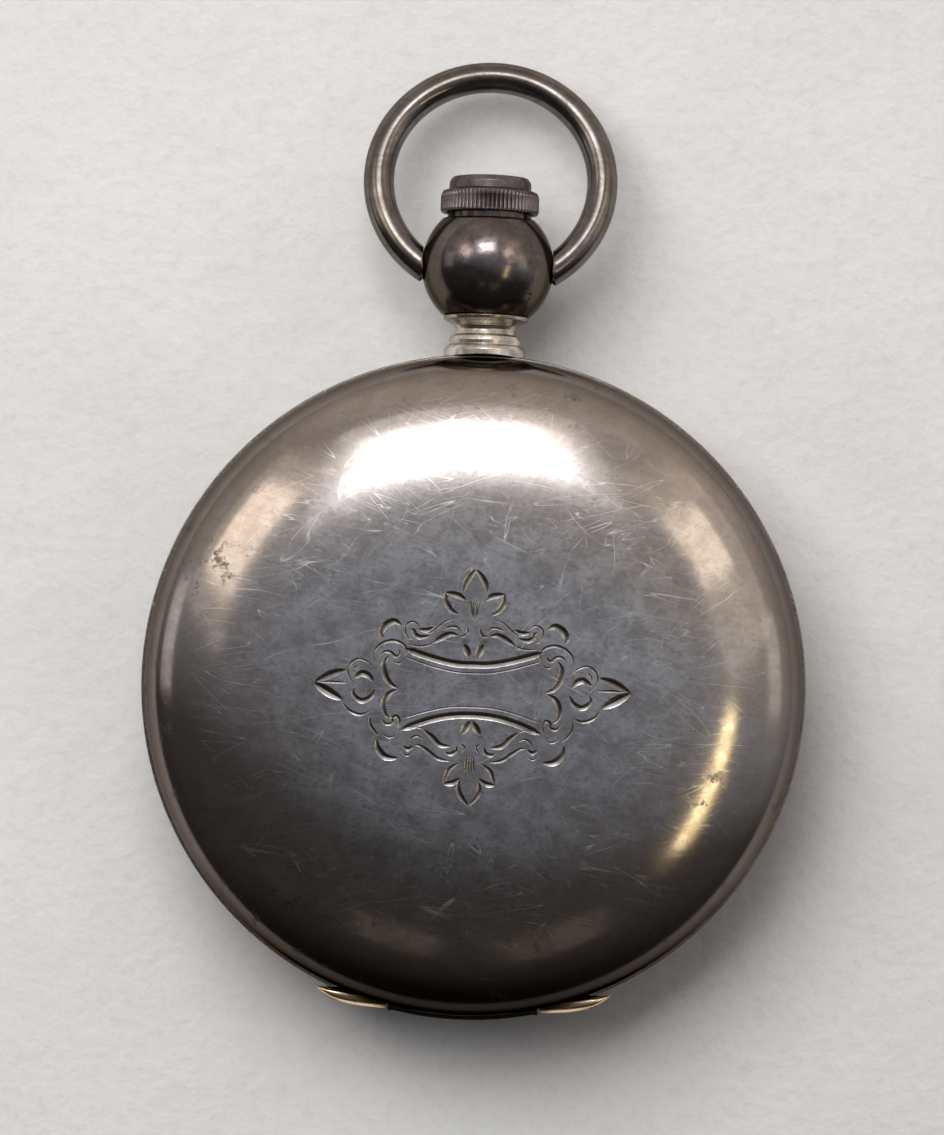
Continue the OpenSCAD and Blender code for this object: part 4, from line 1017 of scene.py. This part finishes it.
def area_light(name, polar_deg, turn_deg, width_deg, height_deg, radiance, colour, distance):
    """A soft light, placed and sized by the angles at which the watch sees it."""
    p, t = math.radians(polar_deg), math.radians(turn_deg)
    way = Vector((math.sin(p) * math.cos(t), math.sin(p) * math.sin(t), math.cos(p)))
    data = bpy.data.lights.new(name, "AREA")
    data.shape = "RECTANGLE"
    data.size = 2 * distance * math.tan(math.radians(width_deg) / 2)
    data.size_y = 2 * distance * math.tan(math.radians(height_deg) / 2)
    data.energy = radiance * math.pi * data.size * data.size_y
    data.color = colour
    light = bpy.data.objects.new(name, data)
    bpy.context.scene.collection.objects.link(light)
    light.location = way * distance
    light.rotation_mode = "QUATERNION"
    light.rotation_quaternion = way.to_track_quat("Z", "Y")
    return light


def lights():
    """A soft light beyond the bow with its spill, a warm one at each side and a small lamp."""
    seen = [("main_softbox", 31.0, 95, 22, 13, 3.8, (1.0, 0.985, 0.965), 1.0),
            ("main_middle", 31.5, 95, 28, 17, 1.5, (1.0, 0.985, 0.965), 0.99),
            ("main_spill", 33.5, 95, 36, 27, 0.75, (1.0, 0.985, 0.965), 0.98),
            ("left_softbox", 45, 146, 17, 20, 1.5, (1.0, 0.86, 0.68), 1.0),
            ("left_spill", 47, 146, 30, 30, 0.3, (1.0, 0.86, 0.7), 0.98),
            ("right_softbox", 42, 36, 11, 18, 1.1, (1.0, 0.84, 0.62), 1.0),
            ("right_spill", 48, 32, 32, 34, 0.35, (1.0, 0.86, 0.7), 0.98),
            ("small_lamp", 34.5, -17, 19, 4.5, 4.0, (1.0, 0.8, 0.42), 1.0),
            ("far_left", 72, 170, 20, 16, 0.6, (1.0, 0.95, 0.88), 1.0),
            ("far_right", 64, 8, 18, 14, 0.4, (1.0, 0.93, 0.86), 1.0),
            ("low_left", 36, 254, 11, 10, 0.09, (1.0, 0.8, 0.6), 1.0),
            ("low_right", 38, 291, 15, 12, 0.09, (1.0, 0.8, 0.6), 1.0)]
    for row in seen:
        # these show in the metal only
        area_light(*row).visible_diffuse = False
    # a wide light for the floor and the shadows, too even to show in the metal
    wide = area_light("floor_softbox", 31, 124, 44, 40, 4.6, (1.0, 0.99, 0.975), 0.55)
    wide.visible_glossy = False


def room():
    """Dim room: pale behind the pendant, dark on the hinge side, where the viewer stands."""
    n = Nodes("soft_room", world=True)
    along = n.plus(n.times(n.axis("X"), 0.22), n.axis("Y"))
    ramp = n.add("ShaderNodeValToRGB", {"Fac": n.span(along, -1.0, 1.0)})
    stops = [(0.0, (0.022, 0.02, 0.018)), (0.38, (0.06, 0.057, 0.055)), (0.47, (0.19, 0.19, 0.202)),
             (0.55, (0.3, 0.305, 0.325)), (0.64, (0.4, 0.375, 0.355)), (0.8, (0.4, 0.36, 0.33)),
             (0.9, (0.56, 0.5, 0.45)), (1.0, (0.4, 0.36, 0.32))]
    elements = ramp.color_ramp.elements
    while len(elements) < len(stops):
        elements.new(0.5)
    for element, (at, colour) in zip(elements, stops):
        element.position = at
        element.color = (*colour, 1)
    bpy.context.scene.world = n.finish("Background", Color=ramp.outputs["Color"], Strength=1.25)
    bpy.context.scene.view_settings.view_transform = "Standard"


def floor():
    """Plain pale paper under the watch."""
    half = 1500.0 * MM
    mesh = bpy.data.meshes.new("floor")
    corners = [(-half, -half, 0), (half, -half, 0), (half, half, 0), (-half, half, 0)]
    mesh.from_pydata(corners, [], [[0, 1, 2, 3]])
    obj = bpy.data.objects.new("floor", mesh)
    bpy.context.scene.collection.objects.link(obj)
    n = Nodes("pale_paper")
    cloud = n.noise(35, 4.0, 0.6)
    fibre = n.noise(900, 3.0, 0.6)
    colour = n.mix(n.span(cloud, 0.3, 0.75), (0.8, 0.8, 0.795), (0.72, 0.72, 0.715))
    colour = n.mix(n.span(fibre, 0.5, 0.75, 0.0, 0.3), colour, (0.6, 0.595, 0.585))
    normal = n.bump(n.plus(n.noise(260, 3.0), n.times(fibre, 0.5)), 0.0004, 0.5)
    rough = n.span(fibre, 0.3, 0.7, 0.8, 0.95)
    mesh.materials.append(n.finish(Base_Color=colour, Roughness=rough, Normal=normal))


def camera():
    """Looks down from slightly towards the hinge side, as in the photograph."""
    elevation, roll, distance = 87.0, 1.96, 700.0
    target = Vector((-0.456, 9.92, MID))
    view_height = 94.27
    e = math.radians(elevation)
    back = Vector((0, -math.cos(e), math.sin(e)))
    data = bpy.data.cameras.new("camera")
    data.lens = data.sensor_width * distance / view_height
    cam = bpy.data.objects.new("camera", data)
    bpy.context.scene.collection.objects.link(cam)
    cam.location = (target + back * distance) * MM
    cam.rotation_mode = "QUATERNION"
    cam.rotation_quaternion = back.to_track_quat("Z", "Y") @ Quaternion((0, 0, 1), math.radians(roll))
    data.clip_start, data.clip_end = 0.01, 20
    bpy.context.scene.camera = cam


finish_cad_nodes()
camera()
lights()
room()
floor()
front_cover()
rear_cover()
inner_cover()
band()
neck()
ball()
crown()
bow()
joint_ends("front_joint_gold", MID + JOINT_STEP, "front_joint_ends")
joint_ends("rear_joint_gold", MID - JOINT_STEP, "rear_joint_ends")
bezel()
crystal()
dial()
